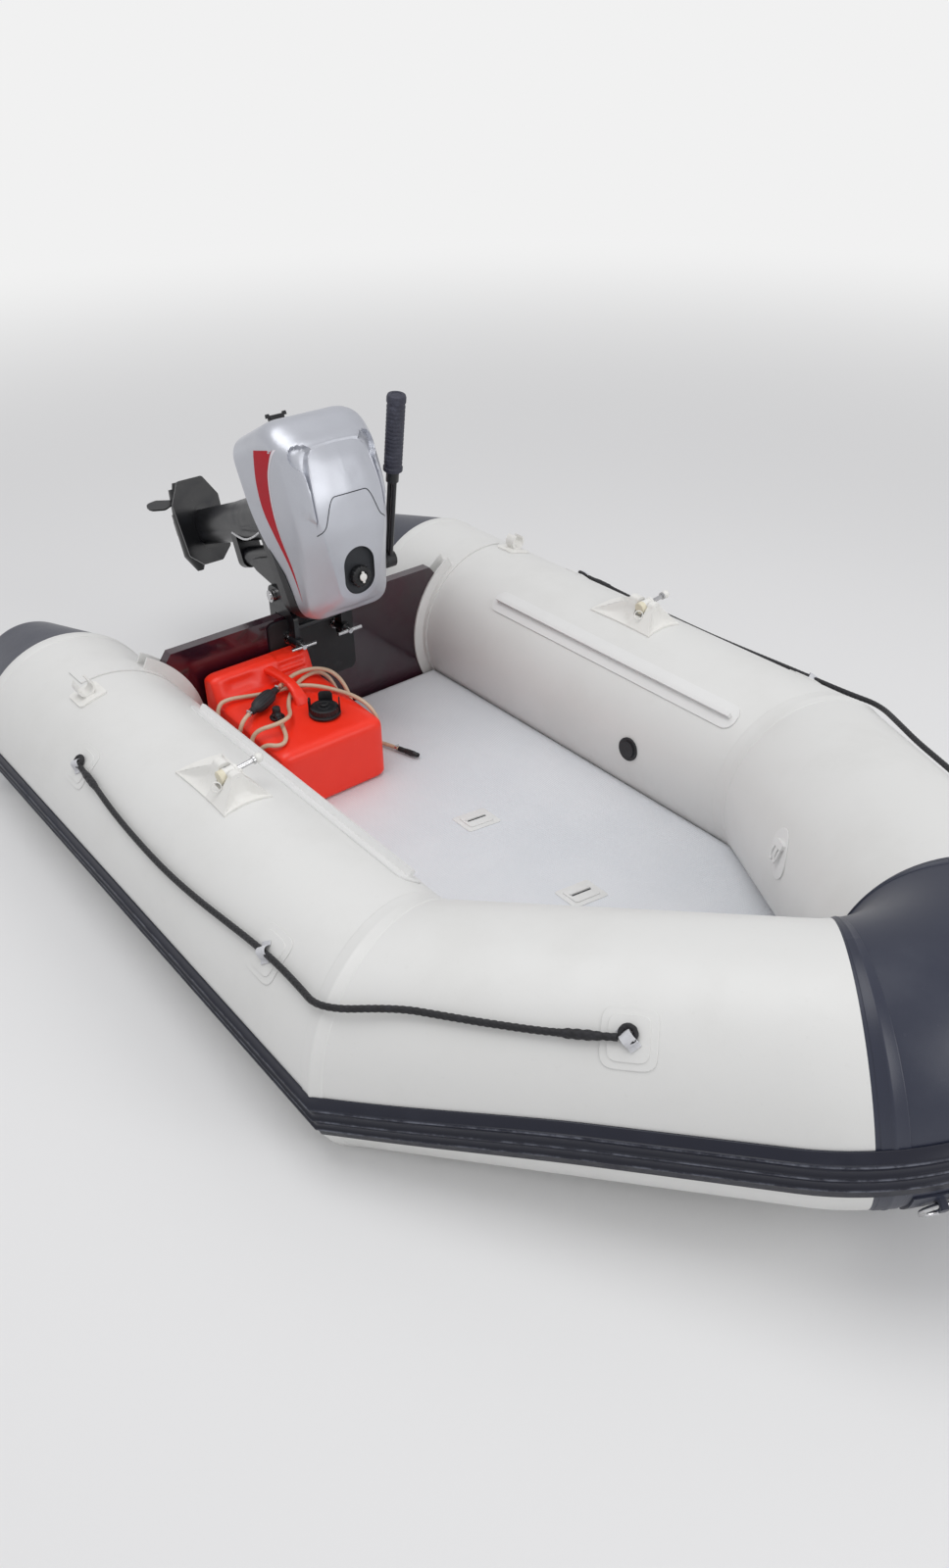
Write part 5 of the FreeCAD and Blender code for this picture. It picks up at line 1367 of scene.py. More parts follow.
OUTLET_ROUTE = (
    (218, -286, 302), (230, -310, 301), (235, -325, 283), (225, -328, 252), (214, -328, 216),
    (228, -328, 184), (260, -328, 176), (286, -328, 200), (284, -328, 240), (281, -325, 276),
    (291, -309, 299), (308, -276, 306), (302, -240, 306), (272, -214, 295), (232, -196, 288.5),
    (194, -172, 288), (164, -140, 289), (142, -107, 291), (132, -74, 292), (141, -52, 293),
    (157, -36, 280), (174, -26, 242), (190, -18, 196), (212, -8, 150), (248, 6, 129),
    (292, 20, 130.8), (336, 34, 130.8),
)


def add_hose(name, route, node):
    points = [at(*place) for place in route]
    hose = add_piece(name, route_curve(name, points, hose_radius), "hull", hose_skin, "hose", [node])
    return hose, centre_points(name, points)


def declare_hose(centre):
    run_length(centre)


tank_hose, tank_hose_line = add_hose("tank_hose", HOSE_ROUTE, "fuel_hose")
outlet_hose, outlet_line = add_hose("outlet_hose", OUTLET_ROUTE, "fuel_hose_outlet")
print("hoses", round(run_length(tank_hose_line), 3), "and", round(run_length(outlet_line), 3), "m")

# %% [markdown]
# The primer bulb is ribbed rubber with a ring at each end, clamped on the hoses with bright bands.
# The elbow and the connector are black mouldings with raised collars.

# %% Bulb, elbow and connector
BULB_PROFILE = (
    (6.4, 0), (8.0, 1), (8.0, 6), (8.8, 6.6), (8.8, 9), (7.6, 9.8), (7.6, 13.5), (10.5, 16), (14.6, 22, 0.5),
    (17.2, 30, 1), (18.0, 38, 1), (18.0, 58, 1), (17.4, 68, 1), (15.2, 78, 0.6), (11.0, 85), (7.8, 88.5),
    (7.8, 92), (8.9, 92.8), (8.9, 95.2), (8.0, 96), (8.0, 101), (6.4, 102),
)
bulb_start = at(*HOSE_ROUTE[-1])
bulb_stop = at(*OUTLET_ROUTE[0])
bulb_way = (bulb_stop - bulb_start).normalized()
bulb_scale = (bulb_stop - bulb_start).length / MM / BULB_PROFILE[-1][1]
bulb_rows = [(radius, height * bulb_scale, *share) for radius, height, *share in BULB_PROFILE]
bulb_data = turned("bulb", bulb_start, bulb_way, bulb_rows, sides=96, flutes=16, depth=1.3)
bulb = add_piece("bulb", bulb_data, "hull", bulb_rubber, "black_plastic", ["primer_bulb"])
CLAMP_BAND = ((5.6, -3), (7.2, -3), (7.2, 3), (5.6, 3))
CLAMP_BLOCK = ((2.9, 0), (2.9, 8), (1.6, 8.2), (1.6, 10.5))


def hose_clamp(place, way):
    """A steel band round a hose with its screw block on top."""
    across = way.cross(Vector((0, 0, 1))).normalized()
    up = across.cross(way)
    block_start = place + up * 6.6 * MM - across * 4 * MM
    return joined_mesh("clamp", [
        turned("clamp_band", place, way, CLAMP_BAND, sides=32),
        turned("clamp_block", block_start, across, CLAMP_BLOCK, sides=6),
    ])


def along_line(line, distance):
    """A place and a direction on a line, a distance in millimetres from its start."""
    left = distance * MM
    for before, after in zip(line, line[1:]):
        run = (after - before).length
        if left <= run:
            return before.lerp(after, left / run), (after - before).normalized()
        left -= run
    return line[-1], (line[-1] - line[-2]).normalized()


for name, line, distance in (
    ("bulb_inlet_clamp", tank_hose_line[::-1], 5.0),
    ("bulb_outlet_clamp", outlet_line, 5.0),
    ("elbow_clamp", tank_hose_line, 8.0),
    ("connector_clamp", outlet_line[::-1], 7.0),
):
    place, way = along_line(line, distance)
    add_piece(name, hose_clamp(place, way), "hull", steel_metal, "steel")

PICKUP_PROFILE = (
    (10, 0), (17, 0.3), (17.4, 4), (16, 5.4), (11, 5.8), (10.4, 7), (10.4, 13), (9.4, 14), (9.4, 26),
    (8.2, 28.4), (4, 29),
)
PICKUP_NUT = ((12.5, 0), (12.5, 6), (11, 7))
PICKUP_TAIL = ((5.2, 0), (7.6, 0.5), (7.6, 20), (7.0, 21), (6.2, 21.2), (6.2, 31), (5.3, 32))
nut_lift = 6.2
elbow_reach = 38
pickup_way = (tank_hose_line[0] - tank_hose_line[1]).normalized()
elbow_place = at(*HOSE_ROUTE[0]) + pickup_way * elbow_reach * MM
pickup_foot = Vector((elbow_place.x, elbow_place.y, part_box("tank_pickup")[0].z))
upright = Vector((0, 0, 1))
pickup = [
    turned("pickup_post", pickup_foot, upright, PICKUP_PROFILE, sides=48),
    turned("pickup_nut", pickup_foot + Vector((0, 0, nut_lift * MM)), upright, PICKUP_NUT, sides=6),
    turned("pickup_tail", elbow_place, -pickup_way, PICKUP_TAIL, sides=32),
]
add_joined("pickup", pickup, "hull", black_plastic, "black_plastic", ["tank_pickup"])

CONNECTOR_PROFILE = (
    (4.6, -1), (6.4, 0), (6.4, 9), (5.6, 10), (6.3, 12), (5.6, 14), (6.3, 16), (5.6, 18), (6.8, 21, 0.2),
    (6.9, 24, 1), (6.9, 43, 1), (6.6, 46, 0.2), (6.0, 47), (6.0, 55), (5.2, 57.5), (3.4, 57.5), (3.2, 52),
)
connector_way = (outlet_line[-1] - outlet_line[-3]) * Vector((1, 1, 0))
connector_data = turned(
    "connector", outlet_line[-1], connector_way, CONNECTOR_PROFILE, sides=72, flutes=12, depth=0.8,
)
connector = add_piece("connector", connector_data, "hull", black_plastic, "black_plastic", ["hose_connector"])
declare_hose(tank_hose_line)
declare_hose(outlet_line)
print("bulb length", round(BULB_PROFILE[-1][1] * bulb_scale, 1), "mm")

# %% [markdown]
# The tank's cap is a ribbed black screw cap with a vent screw in its middle and three guard ears.
# It turns in a shallow collar, and the ears stand up round its back.

# %% Tank cap
cap_low, cap_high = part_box("tank_cap")
cap_place = at(298, -140, 0)
tank_cap_foot = Vector((cap_place.x, cap_place.y, cap_low.z))
TANK_CAP_PROFILE = (
    (20, 0.2), (37, 0.2), (37.4, 2), (37, 5), (34.4, 6), (33.0, 6.4, 0.3), (33.4, 8, 1), (33.4, 17, 1),
    (32.4, 19.4, 0.4), (30, 20.4), (22, 20.6), (21, 19.4), (14, 19.2), (13, 20.4), (9.6, 20.8), (9.2, 26),
    (7.6, 27.4), (2, 27.6),
)
# heading, width in degrees and height of each ear
EARS = ((142, 54, 40), (222, 22, 40), (62, 22, 40))


def ear_mesh(heading, width, height):
    """A curved guard that stands on the collar, with rounded upper corners."""
    rows = []
    steps = 14
    for step in range(steps + 1):
        share = step / steps
        angle = math.radians(heading + (share - 0.5) * width)
        out = Vector((math.cos(angle), math.sin(angle), 0))
        edge = min(share, 1 - share) * math.radians(width) * 36
        top = height - 5 * (1 - ease(edge / 5))
        corners = ((36.8, 4), (36.8, top - 1.2), (36.0, top), (34.6, top), (34.0, top - 1.2), (34.0, 4))
        rows.append([tank_cap_foot + (out * radius + Vector((0, 0, lift))) * MM for radius, lift in corners])
    return skin_mesh("ear", rows, round_way=True, ends=True)


cap_parts = [turned("cap_body", tank_cap_foot, upright, TANK_CAP_PROFILE, sides=180, flutes=30, depth=1.6)]
cap_parts += [ear_mesh(*ear) for ear in EARS]
add_joined("tank_screw_cap", cap_parts, "hull", black_plastic, "black_plastic", ["tank_cap"])
print("cap foot at", [round(v, 3) for v in tank_cap_foot], "top", round(cap_high.z, 3))

# %% [markdown]
# The tank is one blow-moulded shell: a low part with the cap, a thick raised end with ribs beside
# the handle and a shallow panel on the other side, and a bar handle down to the low part.
# It is skinned from side to side, each row being its profile drawn in a little near the sides.

# %% Tank
tank_back = 38.0
tank_nose = 395.0
tank_low_side = -311.0
tank_high_side = -45.0
tank_floor = 120.5
tank_side_radius = 28.0
shoulder_height = 166
raised_height = 52
# x, height over the floor, corner radius
TANK_CORNERS = (
    (tank_back, 0, 14), (tank_nose, 0, 14), (tank_nose, 153, 26), (108, shoulder_height, 10),
    (88, shoulder_height + raised_height, 20), (tank_back, shoulder_height + raised_height, 26),
)
profile_step = 3.6
side_steps = 12
width_steps = 84
side_draw = 0.45
dent_back = 52
dent_front = 112
rib_waves = 2.6
rib_depth = 3.8
panel_depth = 4.0


def filleted_loop(corners, spacing):
    """Even points round a closed outline whose corners are rounded."""
    path = []
    count = len(corners)
    for index, (x, z, radius) in enumerate(corners):
        here = Vector((x, z))
        before = (Vector(corners[index - 1][:2]) - here).normalized()
        after = (Vector(corners[(index + 1) % count][:2]) - here).normalized()
        half = before.angle(after) / 2
        reach = radius / math.tan(half)
        start, end = here + before * reach, here + after * reach
        for k in range(13):
            share = k / 12
            path.append(start * (1 - share) ** 2 + here * 2 * share * (1 - share) + end * share ** 2)
    lengths = [(path[k] - path[k - 1]).length for k in range(len(path))]
    total = sum(lengths)
    steps = round(total / spacing)
    points = []
    walked = 0.0
    k = 0
    for step in range(steps):
        target = total * step / steps
        while walked + lengths[(k + 1) % len(path)] < target:
            k += 1
            walked += lengths[k % len(path)]
        share = (target - walked) / lengths[(k + 1) % len(path)]
        points.append(path[k % len(path)].lerp(path[(k + 1) % len(path)], share))
    return points


def span_share(value, low, high, soft):
    """1 inside a span, falling to 0 over a soft distance at its ends."""
    return ease(min(value - low, high - value) / soft)


def tank_dent(x, z, y):
    """How far the raised end's front face is pressed in at a place."""
    if not dent_back <= x <= dent_front:
        return 0.0
    level = (z - shoulder_height) / raised_height
    ribs = 0.5 - 0.5 * math.cos(2 * math.pi * level * rib_waves)
    ribbed = span_share(y, -140, -62, 9) * span_share(level, 0.12, 1.3, 0.12)
    panel = span_share(y, -296, -186, 34) * span_share(level, 0.06, 0.9, 0.36)
    return rib_depth * ribs * ribbed + panel_depth * panel


def tank_body():
    loop = filleted_loop(TANK_CORNERS, profile_step)
    count = len(loop)
    width = tank_high_side - tank_low_side
    turns = [math.pi / 2 * k / side_steps for k in range(side_steps + 1)]
    rounded = [tank_side_radius * (1 - math.cos(turn)) for turn in turns]
    flat = width - 2 * tank_side_radius
    inner = [tank_side_radius + flat * k / width_steps for k in range(1, width_steps)]
    stations = rounded + inner + [width - station for station in rounded[::-1]]
    rows = []
    for station in stations:
        near = min(station, width - station, tank_side_radius) / tank_side_radius
        inset = tank_side_radius * (1 - math.sqrt(max(1 - (1 - near) ** 2, 0)))
        y = tank_low_side + station
        row = []
        for k, point in enumerate(loop):
            tangent = loop[(k + 1) % count] - loop[k - 1]
            outward = Vector((tangent.y, -tangent.x)).normalized()
            spot = point - outward * (inset * side_draw + tank_dent(point.x, point.y, y))
            row.append(at(spot.x, y, tank_floor + max(spot.y, 0)))
        rows.append(row)
    return skin_mesh("tank_body", rows, round_way=True, ends=True, sharp_degrees=60)


# x, y, height over the tank's floor, half width, half thickness
HANDLE_PATH = (
    (70, -165, 196, 15, 8), (92, -163.5, 198, 14, 7.5), (112, -162, 199, 12, 7), (140, -160, 199, 11.5, 7),
    (170, -158, 198, 11.5, 7), (186, -157, 194, 12, 7.5), (202, -156, 184, 13.5, 8.5),
    (216, -155, 171, 16, 9), (226, -154, 156, 19, 9), (230, -154, 140, 20, 9),
)


def tank_bar():
    """The handle, a bar with rounded sides that widens at both roots."""
    rows = []
    steps = 60
    last = len(HANDLE_PATH) - 1
    for step in range(steps + 1):
        place = last * step / steps
        index = min(int(place), last - 1)
        share = ease(place - index) * 0.35 + (place - index) * 0.65
        start, stop = HANDLE_PATH[index:index + 2]
        x, y, height, half_width, half_thick = [a + (b - a) * share for a, b in zip(start, stop)]
        lean = math.atan((stop[2] - start[2]) / (stop[0] - start[0]))
        row = []
        for turn in range(40):
            angle = 2 * math.pi * turn / 40
            across = math.copysign(abs(math.cos(angle)) ** 0.6, math.cos(angle)) * half_width
            lift = math.copysign(abs(math.sin(angle)) ** 0.6, math.sin(angle)) * half_thick
            level = tank_floor + height + math.cos(lean) * lift
            row.append(at(x - math.sin(lean) * lift, y + across, level))
        rows.append(row)
    return skin_mesh("tank_bar", rows, round_way=True, ends=True, sharp_degrees=60)


add_joined("tank_shell", [tank_body(), tank_bar()], "hull", tank_skin, "tank_red", ["fuel_tank"])
print("tank", tank_nose - tank_back, "by", tank_high_side - tank_low_side)

# %% [markdown]
# Each grab line is spliced round a webbing tab on its glued patch. Where the rope is tucked back
# into itself it is thicker, and the eye beyond that wraps the tab.
# The splice and the eye belong to the cord, so they are named with it.

# %% Splices, eyes and tabs
LINE_PATCHES = ((False, 262.0, 46.0), (False, 1004.0, 46.0), (True, 452.0, 50.0))
patch_top = tube_radius + 2 * seat_gap + 2 * patch_thick
tab_width = 19.0
tab_reach = 19.0
tab_rise = 13.6
tab_lean = 40.0
splice_step = 4
splice_start = 20
splice_length = 68
splice_radius = 8.0
eye_radius = 11.0
eye_rope_radius = 4.6


def patch_frame(side, on_leg, station, angle):
    """Middle of a patch with the directions along the tube, round it and out of it."""
    line = tube_part(side, on_leg)
    outward = line.outward(angle)
    around = line.outward(angle + 90)
    return line.around(station, patch_top, angle), line.along, around, outward


def webbing_tab(side, on_leg, station, angle):
    """A folded strip of webbing, arched over the rope, set at a slant on the patch."""
    middle, along, around, outward = patch_frame(side, on_leg, station, angle)
    turn = math.radians(tab_lean * side)
    long_way = along * math.cos(turn) + around * math.sin(turn)
    cross_way = around * math.cos(turn) - along * math.sin(turn)
    rows = []
    steps = 26
    for step in range(steps + 1):
        share = step / steps
        reach = (share - 0.5) * 2
        arch = tab_rise * max(0.0, 1 - (abs(reach) / 0.62) ** 2.4)
        place = middle + (cross_way * reach * tab_reach + outward * (0.7 + arch)) * MM
        half = tab_width / 2
        flat = half - 0.6
        corners = ((-half, 0), (-flat, 1.1), (flat, 1.1), (half, 0), (flat, -0.4), (-flat, -0.4))
        rows.append([place + (long_way * across + outward * lift) * MM for across, lift in corners])
    return skin_mesh("webbing_tab", rows, round_way=True, ends=True, sharp_degrees=50)


def splice_points(centre):
    """The stretch near the start of a line that is spliced."""
    line = even_points(centre, splice_step * MM)
    first = round(splice_start / splice_step)
    return line[first:first + round(splice_length / splice_step) + 1]


def swollen_rope(points):
    """A stretch of rope that is thickest along its middle."""
    rows = braid_rows(points, splice_radius)
    for index, row in enumerate(rows):
        share = index / (len(rows) - 1)
        swell = 0.74 + 0.26 * min(1.0, 4 * share, 4 * (1 - share))
        middle = sum(row, Vector()) / len(row)
        rows[index] = [middle + (point - middle) * swell for point in row]
    return rope_mesh("splice", rows)


def rope_eye(side, on_leg, station, angle):
    """The eye at the end of a line, round the foot of its tab."""
    middle, along, around, outward = patch_frame(side, on_leg, station, angle)
    heart = middle + (outward * 5.5 - around * 6) * MM
    turns = [2 * math.pi * step / 40 for step in range(42)]
    outs = [along * math.cos(turn) + around * math.sin(turn) for turn in turns]
    points = [heart + out * eye_radius * MM for out in outs]
    return rope_mesh("eye", braid_rows(points, eye_rope_radius))


for name, side in SIDES:
    rope, centre = grab_lines[name]
    tab_data = [webbing_tab(side, *patch) for patch in LINE_PATCHES]
    tabs = add_joined("line_tabs_" + name, tab_data, "hull", webbing, "line_black")
    splice_data = [swollen_rope(splice_points(line)) for line in (centre, centre[::-1])]
    splice_data += [rope_eye(side, *LINE_PATCHES[0]), rope_eye(side, *LINE_PATCHES[2])]
    splices = add_joined("line_splices_" + name, splice_data, "hull", black_yarn, "line_black")
    run_length(centre)
print("tabs", len(LINE_PATCHES) * 2)

# %% [markdown]
# An oarlock's pin is a steel rod in a sleeve, white with a cream end, that turns on a cross shaft
# between two heads. It ends in a white ball, and a wire ring keeps the shaft from sliding out.

# %% Oarlocks
oarlock_station = 635.0
pin_height = 40.0
pin_run = 62.0
pin_lift = 8.0
sleeve_back = 24.0
sleeve_front = 15.0
prong_shift = 9.4
ring_shift = (11, -36, -11)
ring_radius = 9.6
ring_wire = 1.2
ring_turns = 40
ring_sides = 10
ring_overlap = 1.15


def oarlock_centre(side):
    return side_line(side).around(oarlock_station, tube_radius, 0) + Vector((0, 0, pin_height * MM))


def wire_ring(middle, axis):
    """A ring of spring wire whose ends pass each other."""
    axis = axis.normalized()
    across = axis.orthogonal().normalized()
    other = axis.cross(across)
    rows = []
    count = round(ring_turns * ring_overlap)
    for turn in range(count + 1):
        angle = 2 * math.pi * turn / ring_turns
        out = across * math.cos(angle) + other * math.sin(angle)
        shift = axis * ring_wire * 2 * (turn / count - 0.5) * MM
        row = []
        for side in range(ring_sides):
            bend = 2 * math.pi * side / ring_sides
            reach = out * (ring_radius + ring_wire * math.cos(bend)) + axis * ring_wire * math.sin(bend)
            row.append(middle + shift + reach * MM)
        rows.append(row)
    return skin_mesh("ring", rows, round_way=True, ends=True)


pin_length = math.hypot(pin_run, pin_lift)
rod_start = sleeve_front - 3
rod_end = pin_length - 4
ball_radius = 9.6
ball_turns = [math.pi * k / 16 for k in range(17)]
BALL_PROFILE = [
    (max(0.2, ball_radius * math.sin(turn)), -ball_radius * math.cos(turn)) for turn in ball_turns
]
CREAM_PROFILE = (
    (5, -sleeve_back), (12.6, -sleeve_back), (13.8, 1.2 - sleeve_back), (13.8, -11.4), (5, -11.4),
)
COLLAR_PROFILE = (
    (5, -11.3), (13.2, -11.3), (13.6, -10.6), (13.6, -6), (12.6, -5), (12.6, 9), (13.8, 10),
    (13.8, sleeve_front - 1), (12.8, sleeve_front), (5.2, sleeve_front),
)
PRONG_PROFILE = ((0.5, 0), (3.6, 0), (3.6, 7), (2.4, 8.6), (0.5, 9))
SHAFT_PROFILE = ((2, -37), (5.4, -37), (6, -36), (6, 31), (5.4, 32), (2, 32))
ROD_PROFILE = ((4, rod_start), (5, rod_start), (5, rod_end), (4, rod_end))
FLANGE_PROFILE = (
    (5, pin_length - 12), (8.6, pin_length - 12), (8.6, pin_length - 8.4), (5, pin_length - 8),
)
pin_way = Vector((0, pin_run, pin_lift)).normalized()
forward = Vector((1, 0, 0))
for name, side in SIDES:
    body = "oar_pin_" + name
    centre = oarlock_centre(side)
    bushing = turned("bushing", centre, pin_way, CREAM_PROFILE)
    add_piece("oar_bushing_" + name, bushing, body, cream_plastic, "white_plastic")
    collar = [turned("collar", centre, pin_way, COLLAR_PROFILE)]
    for way in (-1, 1):
        prong = centre + (pin_way * (sleeve_front - 2) + forward * prong_shift * way) * MM
        collar.append(turned("prong", prong, pin_way, PRONG_PROFILE, sides=24))
    stood_for = ["oarlock_pin_" + name]
    add_joined("oar_collar_" + name, collar, body, white_plastic, "white_plastic", stood_for)
    rods = [
        turned("shaft", centre, forward, SHAFT_PROFILE, sides=32),
        turned("rod", centre, pin_way, ROD_PROFILE),
        turned("flange", centre, pin_way, FLANGE_PROFILE),
    ]
    add_joined("oar_pin_rod_" + name, rods, body, steel_metal, "steel")
    ball = turned("ball", centre + pin_way * pin_length * MM, pin_way, BALL_PROFILE, sides=32)
    add_piece("oar_pin_ball_" + name, ball, body, white_plastic, "white_plastic")
    # The keeper ring is steel wire but takes the white plastic finish: its white is a painted highlight that
    # stands for the bright reflections on the wire.
    ring = wire_ring(centre + Vector(ring_shift) * MM, Vector((0.9, -0.5, 0.3)))
    add_piece("keeper_ring_" + name, ring, "hull", white_plastic, "steel")
print("oarlocks at", oarlock_station)

# %% [markdown]
# The patches on the tubes are thin cloth that follows the round tube. Under the grab line lies
# a square one with a raised middle, and inside each bow leg an oval one with two hanging loops.

# %% Tube patches
loop_station = 398.0
loop_angle = -68.0
loop_cord_radius = 2.5
bar_rise = 17.0
oval_lean = 34.0
plate_turns = 64
# share of the way out from the middle, share of the thickness
PATCH_SPANS = ((0.02, 0), (0.5, 0), (1, 0), (1, 0.6), (0.985, 1), (0.75, 1), (0.5, 1), (0.25, 1), (0.02, 1))


def curved_plate(name, line, station, angle, length, width, low, high, power, lean=0.0):
    """A thin plate on the tube, oval at power 2 and nearly square at a high power."""
    rows = []
    for share, depth in PATCH_SPANS:
        row = []
        for step in range(plate_turns):
            turn = 2 * math.pi * (step + 0.5) / plate_turns
            long_share = abs(math.cos(turn)) / (length / 2)
            round_share = abs(math.sin(turn)) / (width / 2)
            reach = share * (long_share ** power + round_share ** power) ** (-1 / power)
            x = reach * math.cos(turn + math.radians(lean))
            y = reach * math.sin(turn + math.radians(lean))
            lift = tube_radius + seat_gap + low + (high - low) * depth
            row.append(line.around(station + x, lift, angle + math.degrees(y / tube_radius)))
        rows.append(row)
    return skin_mesh(name, rows, round_way=True, ends=True, sharp_degrees=30)


def hanging_loop(line, middle):
    """A loop of thin cord that hangs from the bar of its patch."""
    route = ((-5, 17, 4), (-5.5, 6, 9), (-5.5, -8, 9), (0, -18, 9), (5.5, -8, 9), (5.5, 6, 9), (5, 17, 4))
    points = []
    for x, y, lift in route:
        angle = loop_angle + math.degrees(y / tube_radius)
        points.append(line.around(middle + x, tube_radius + lift, angle))
    return rope_mesh("loop", braid_rows(centre_points("loop", points), loop_cord_radius, depth=0))


square_data = []
loop_data = []
for name, side in SIDES:
    for on_leg, station, angle in LINE_PATCHES:
        line = tube_part(side, on_leg)
        square_data.append(curved_plate("outer", line, station, angle, 84, 88, 0, patch_thick, 5))
        square_data.append(curved_plate("raised", line, station, angle, 62, 66, 1.2, 3.4, 5))
    leg = leg_line(side)
    lean = oval_lean * side
    bar_angle = loop_angle + math.degrees(bar_rise / tube_radius)
    loop_data.append(curved_plate("oval", leg, loop_station, loop_angle, 62, 96, 0, 2.2, 2.4, lean))
    loop_data.append(curved_plate("bar", leg, loop_station, bar_angle, 36, 14, 1.6, 9, 5))
    loop_data += [hanging_loop(leg, loop_station + shift) for shift in (-8, 8)]
add_joined("square_patches", square_data, "hull", grey_cloth, "tube_grey", ["line_patches"])
add_joined("bow_loops", loop_data, "hull", patch_cloth, "tube_grey", ["bow_loop_patches"])
print("tube patches", len(LINE_PATCHES) * 2, "and loops", len(loop_data))

# %% [markdown]
# The oarlock's foot is one moulding: four ridges run from two heads down to pointed corners, the
# end faces between them are deep hollows, and the side walls dip to let the pin's sleeve swing.
# It is shaped as a height over the plan, with grid lines kept on the edges of the gap.

# %% Oarlock feet
foot_front = 60.0
foot_back = -132.0
foot_half_width = 51.0
foot_lip = 4.0
ridge_top = 44.0
head_top = 53.0
head_half_width = 13.0
heads_front = 34.0
heads_back = -44.0
gap_half = 15.5
sleeve_room = 35.0


def foot_height(x, y):
    """Height of the moulding over a place of its plan, measured from the cross shaft's station."""
    ahead_share = (foot_front - x) / (foot_front - heads_front)
    aft_share = (x - foot_back) / (heads_back - foot_back)
    end_share = min(ahead_share, aft_share, 1.0)
    side_share = min((foot_half_width - abs(y)) / (foot_half_width - head_half_width), 1.35)
    if end_share < side_share:
        hollow = ease((side_share - end_share) / 0.2)
        share = max(end_share, 0.0) ** (1 + 4.4 * hollow)
    else:
        hollow = ease((end_share - side_share) / 0.2) if x < -gap_half else 0.0
        share = max(side_share, 0.0) ** (1.12 + 1.6 * hollow)
    height = foot_lip + (ridge_top - foot_lip) * min(share, 1.0)
    if share >= 1:
        height += (head_top - ridge_top) * (1 - min(abs(y) / head_half_width, 1.0) ** 3) ** 0.5
    if abs(x) <= gap_half and abs(y) < sleeve_room:
        height = min(height, pin_height - math.sqrt(sleeve_room ** 2 - y * y))
    return max(height, foot_lip)


def foot_shell(base):
    """Rows of the moulding from its back edge to its front edge, each closed below."""
    places = [foot_back + (-gap_half - 1.2 - foot_back) * k / 70 for k in range(71)]
    places += [-gap_half + 2 * gap_half * k / 14 for k in range(15)]
    places += [gap_half + 1.2 + (foot_front - gap_half - 1.2) * k / 34 for k in range(35)]
    middle = (foot_front + foot_back) / 2
    rows = []
    for x in places:
        along = (x - middle) / (foot_front - middle)
        half = foot_half_width * (0.95 + 0.05 * along * along)
        row = []
        for k, shown in [(k, True) for k in range(81)] + [(k, False) for k in range(80, -1, -20)]:
            y = half * (1 - k / 40)
            sag = math.sqrt(tube_radius ** 2 - y * y) - tube_radius
            pull = 1 - 0.03 * (1 - (y / half) ** 2)
            height = foot_height(x, y * foot_half_width / half) if shown else 0
            row.append(base + Vector((middle + (x - middle) * pull, y, sag + height + seat_gap)) * MM)
        rows.append(row)
    return rows


for name, side in SIDES:
    base = side_line(side).around(oarlock_station, tube_radius, 0)
    foot = skin_mesh("oarlock_foot", foot_shell(base), round_way=True, ends=True, sharp_degrees=38)
    add_piece("oarlock_foot_" + name, foot, "hull", white_plastic, "white_plastic", ["oarlock_base_" + name])
print("oarlock foot", foot_front - foot_back, "by", 2 * foot_half_width)

# %% [markdown]
# The tiller's grip is ribbed rubber with a stop collar, and its end is closed by a button.
# Rubber wears pale where it is held, which the finish leaves to noise.

# %% Tiller grip
tiller_pivot = Vector((-20, 160, 175))
tiller_fold = math.radians(150)
tiller_length = 412.0
grip_length = 180.0
grip_ribs = 15
rib_spacing = 9.4
TILLER_WAY = Vector((math.cos(tiller_fold), 0, math.sin(tiller_fold)))
grip_start = tiller_pivot + TILLER_WAY * (tiller_length - grip_length + seat_gap)
GRIP_PROFILE = [(12, 0), (21, 0), (22.4, 1.2), (22.4, 9), (20.4, 10.4), (19.6, 12)]
for rib in range(grip_ribs):
    height = 16 + rib * rib_spacing
    GRIP_PROFILE += [(19.8, height), (21.0, height + 1.4, 0.5), (21.0, height + 5.6, 0.5), (19.8, height + 7)]
GRIP_PROFILE += [(20, 160), (21.8, 162.5), (21.8, 173), (20, 178), (11, 179.6), (10.6, 178.6), (3, 178.6)]
grip_data = turned(
    "grip", on_motor(*grip_start), motor_way(*TILLER_WAY), GRIP_PROFILE, sides=96, flutes=24, depth=0.9,
)
add_piece("grip", grip_data, "tiller", grip_rubber, "grip_rubber", ["tiller_grip"])
print("grip ribs", grip_ribs)

# %% [markdown]
# Each deck patch is glued flat and carries a raised flap with a slit where a strap comes out; the slit is a
# thin dark plate, painted shade that stands for the opening.
# A low lip runs along the slit. All of them are thin plates with rounded corners, set at a slant.

# %% Deck patches
deck_top = 120.0
PATCH_STATIONS = (677.0, 1017.0)


def plate(name, middle, long_way, cross_way, up, length, width, low, high, corner, edge=0.8, skew=0.0):
    """A thin plate with rounded corners and a small bevel, made of rows from the bottom up."""
    rows = []
    for inset, lift in ((0, low), (0, high - edge), (edge * 0.35, high - edge * 0.3), (edge, high)):
        row = []
        half_length, half_width, radius = length / 2 - inset, width / 2 - inset, corner - inset
        for turn in range(48):
            angle = 2 * math.pi * (turn + 0.5) / 48
            x = math.copysign(half_length - radius, math.cos(angle)) + radius * math.cos(angle)
            y = math.copysign(half_width - radius, math.sin(angle)) + radius * math.sin(angle)
            row.append(middle + (long_way * (x + skew * y) + cross_way * y + up * lift) * MM)
        rows.append(row)
    return skin_mesh(name, rows, round_way=True, ends=True, sharp_degrees=30)


patch_skew = 0.16
lip_setback = 5
across = Vector((0, 1, 0))


def deck_plate(name, station, *sizes, edge=0.8):
    place = at(station, 0, deck_top + seat_gap)
    return plate(name, place, Vector((1, 0, 0)), across, upright, *sizes, edge=edge, skew=patch_skew)


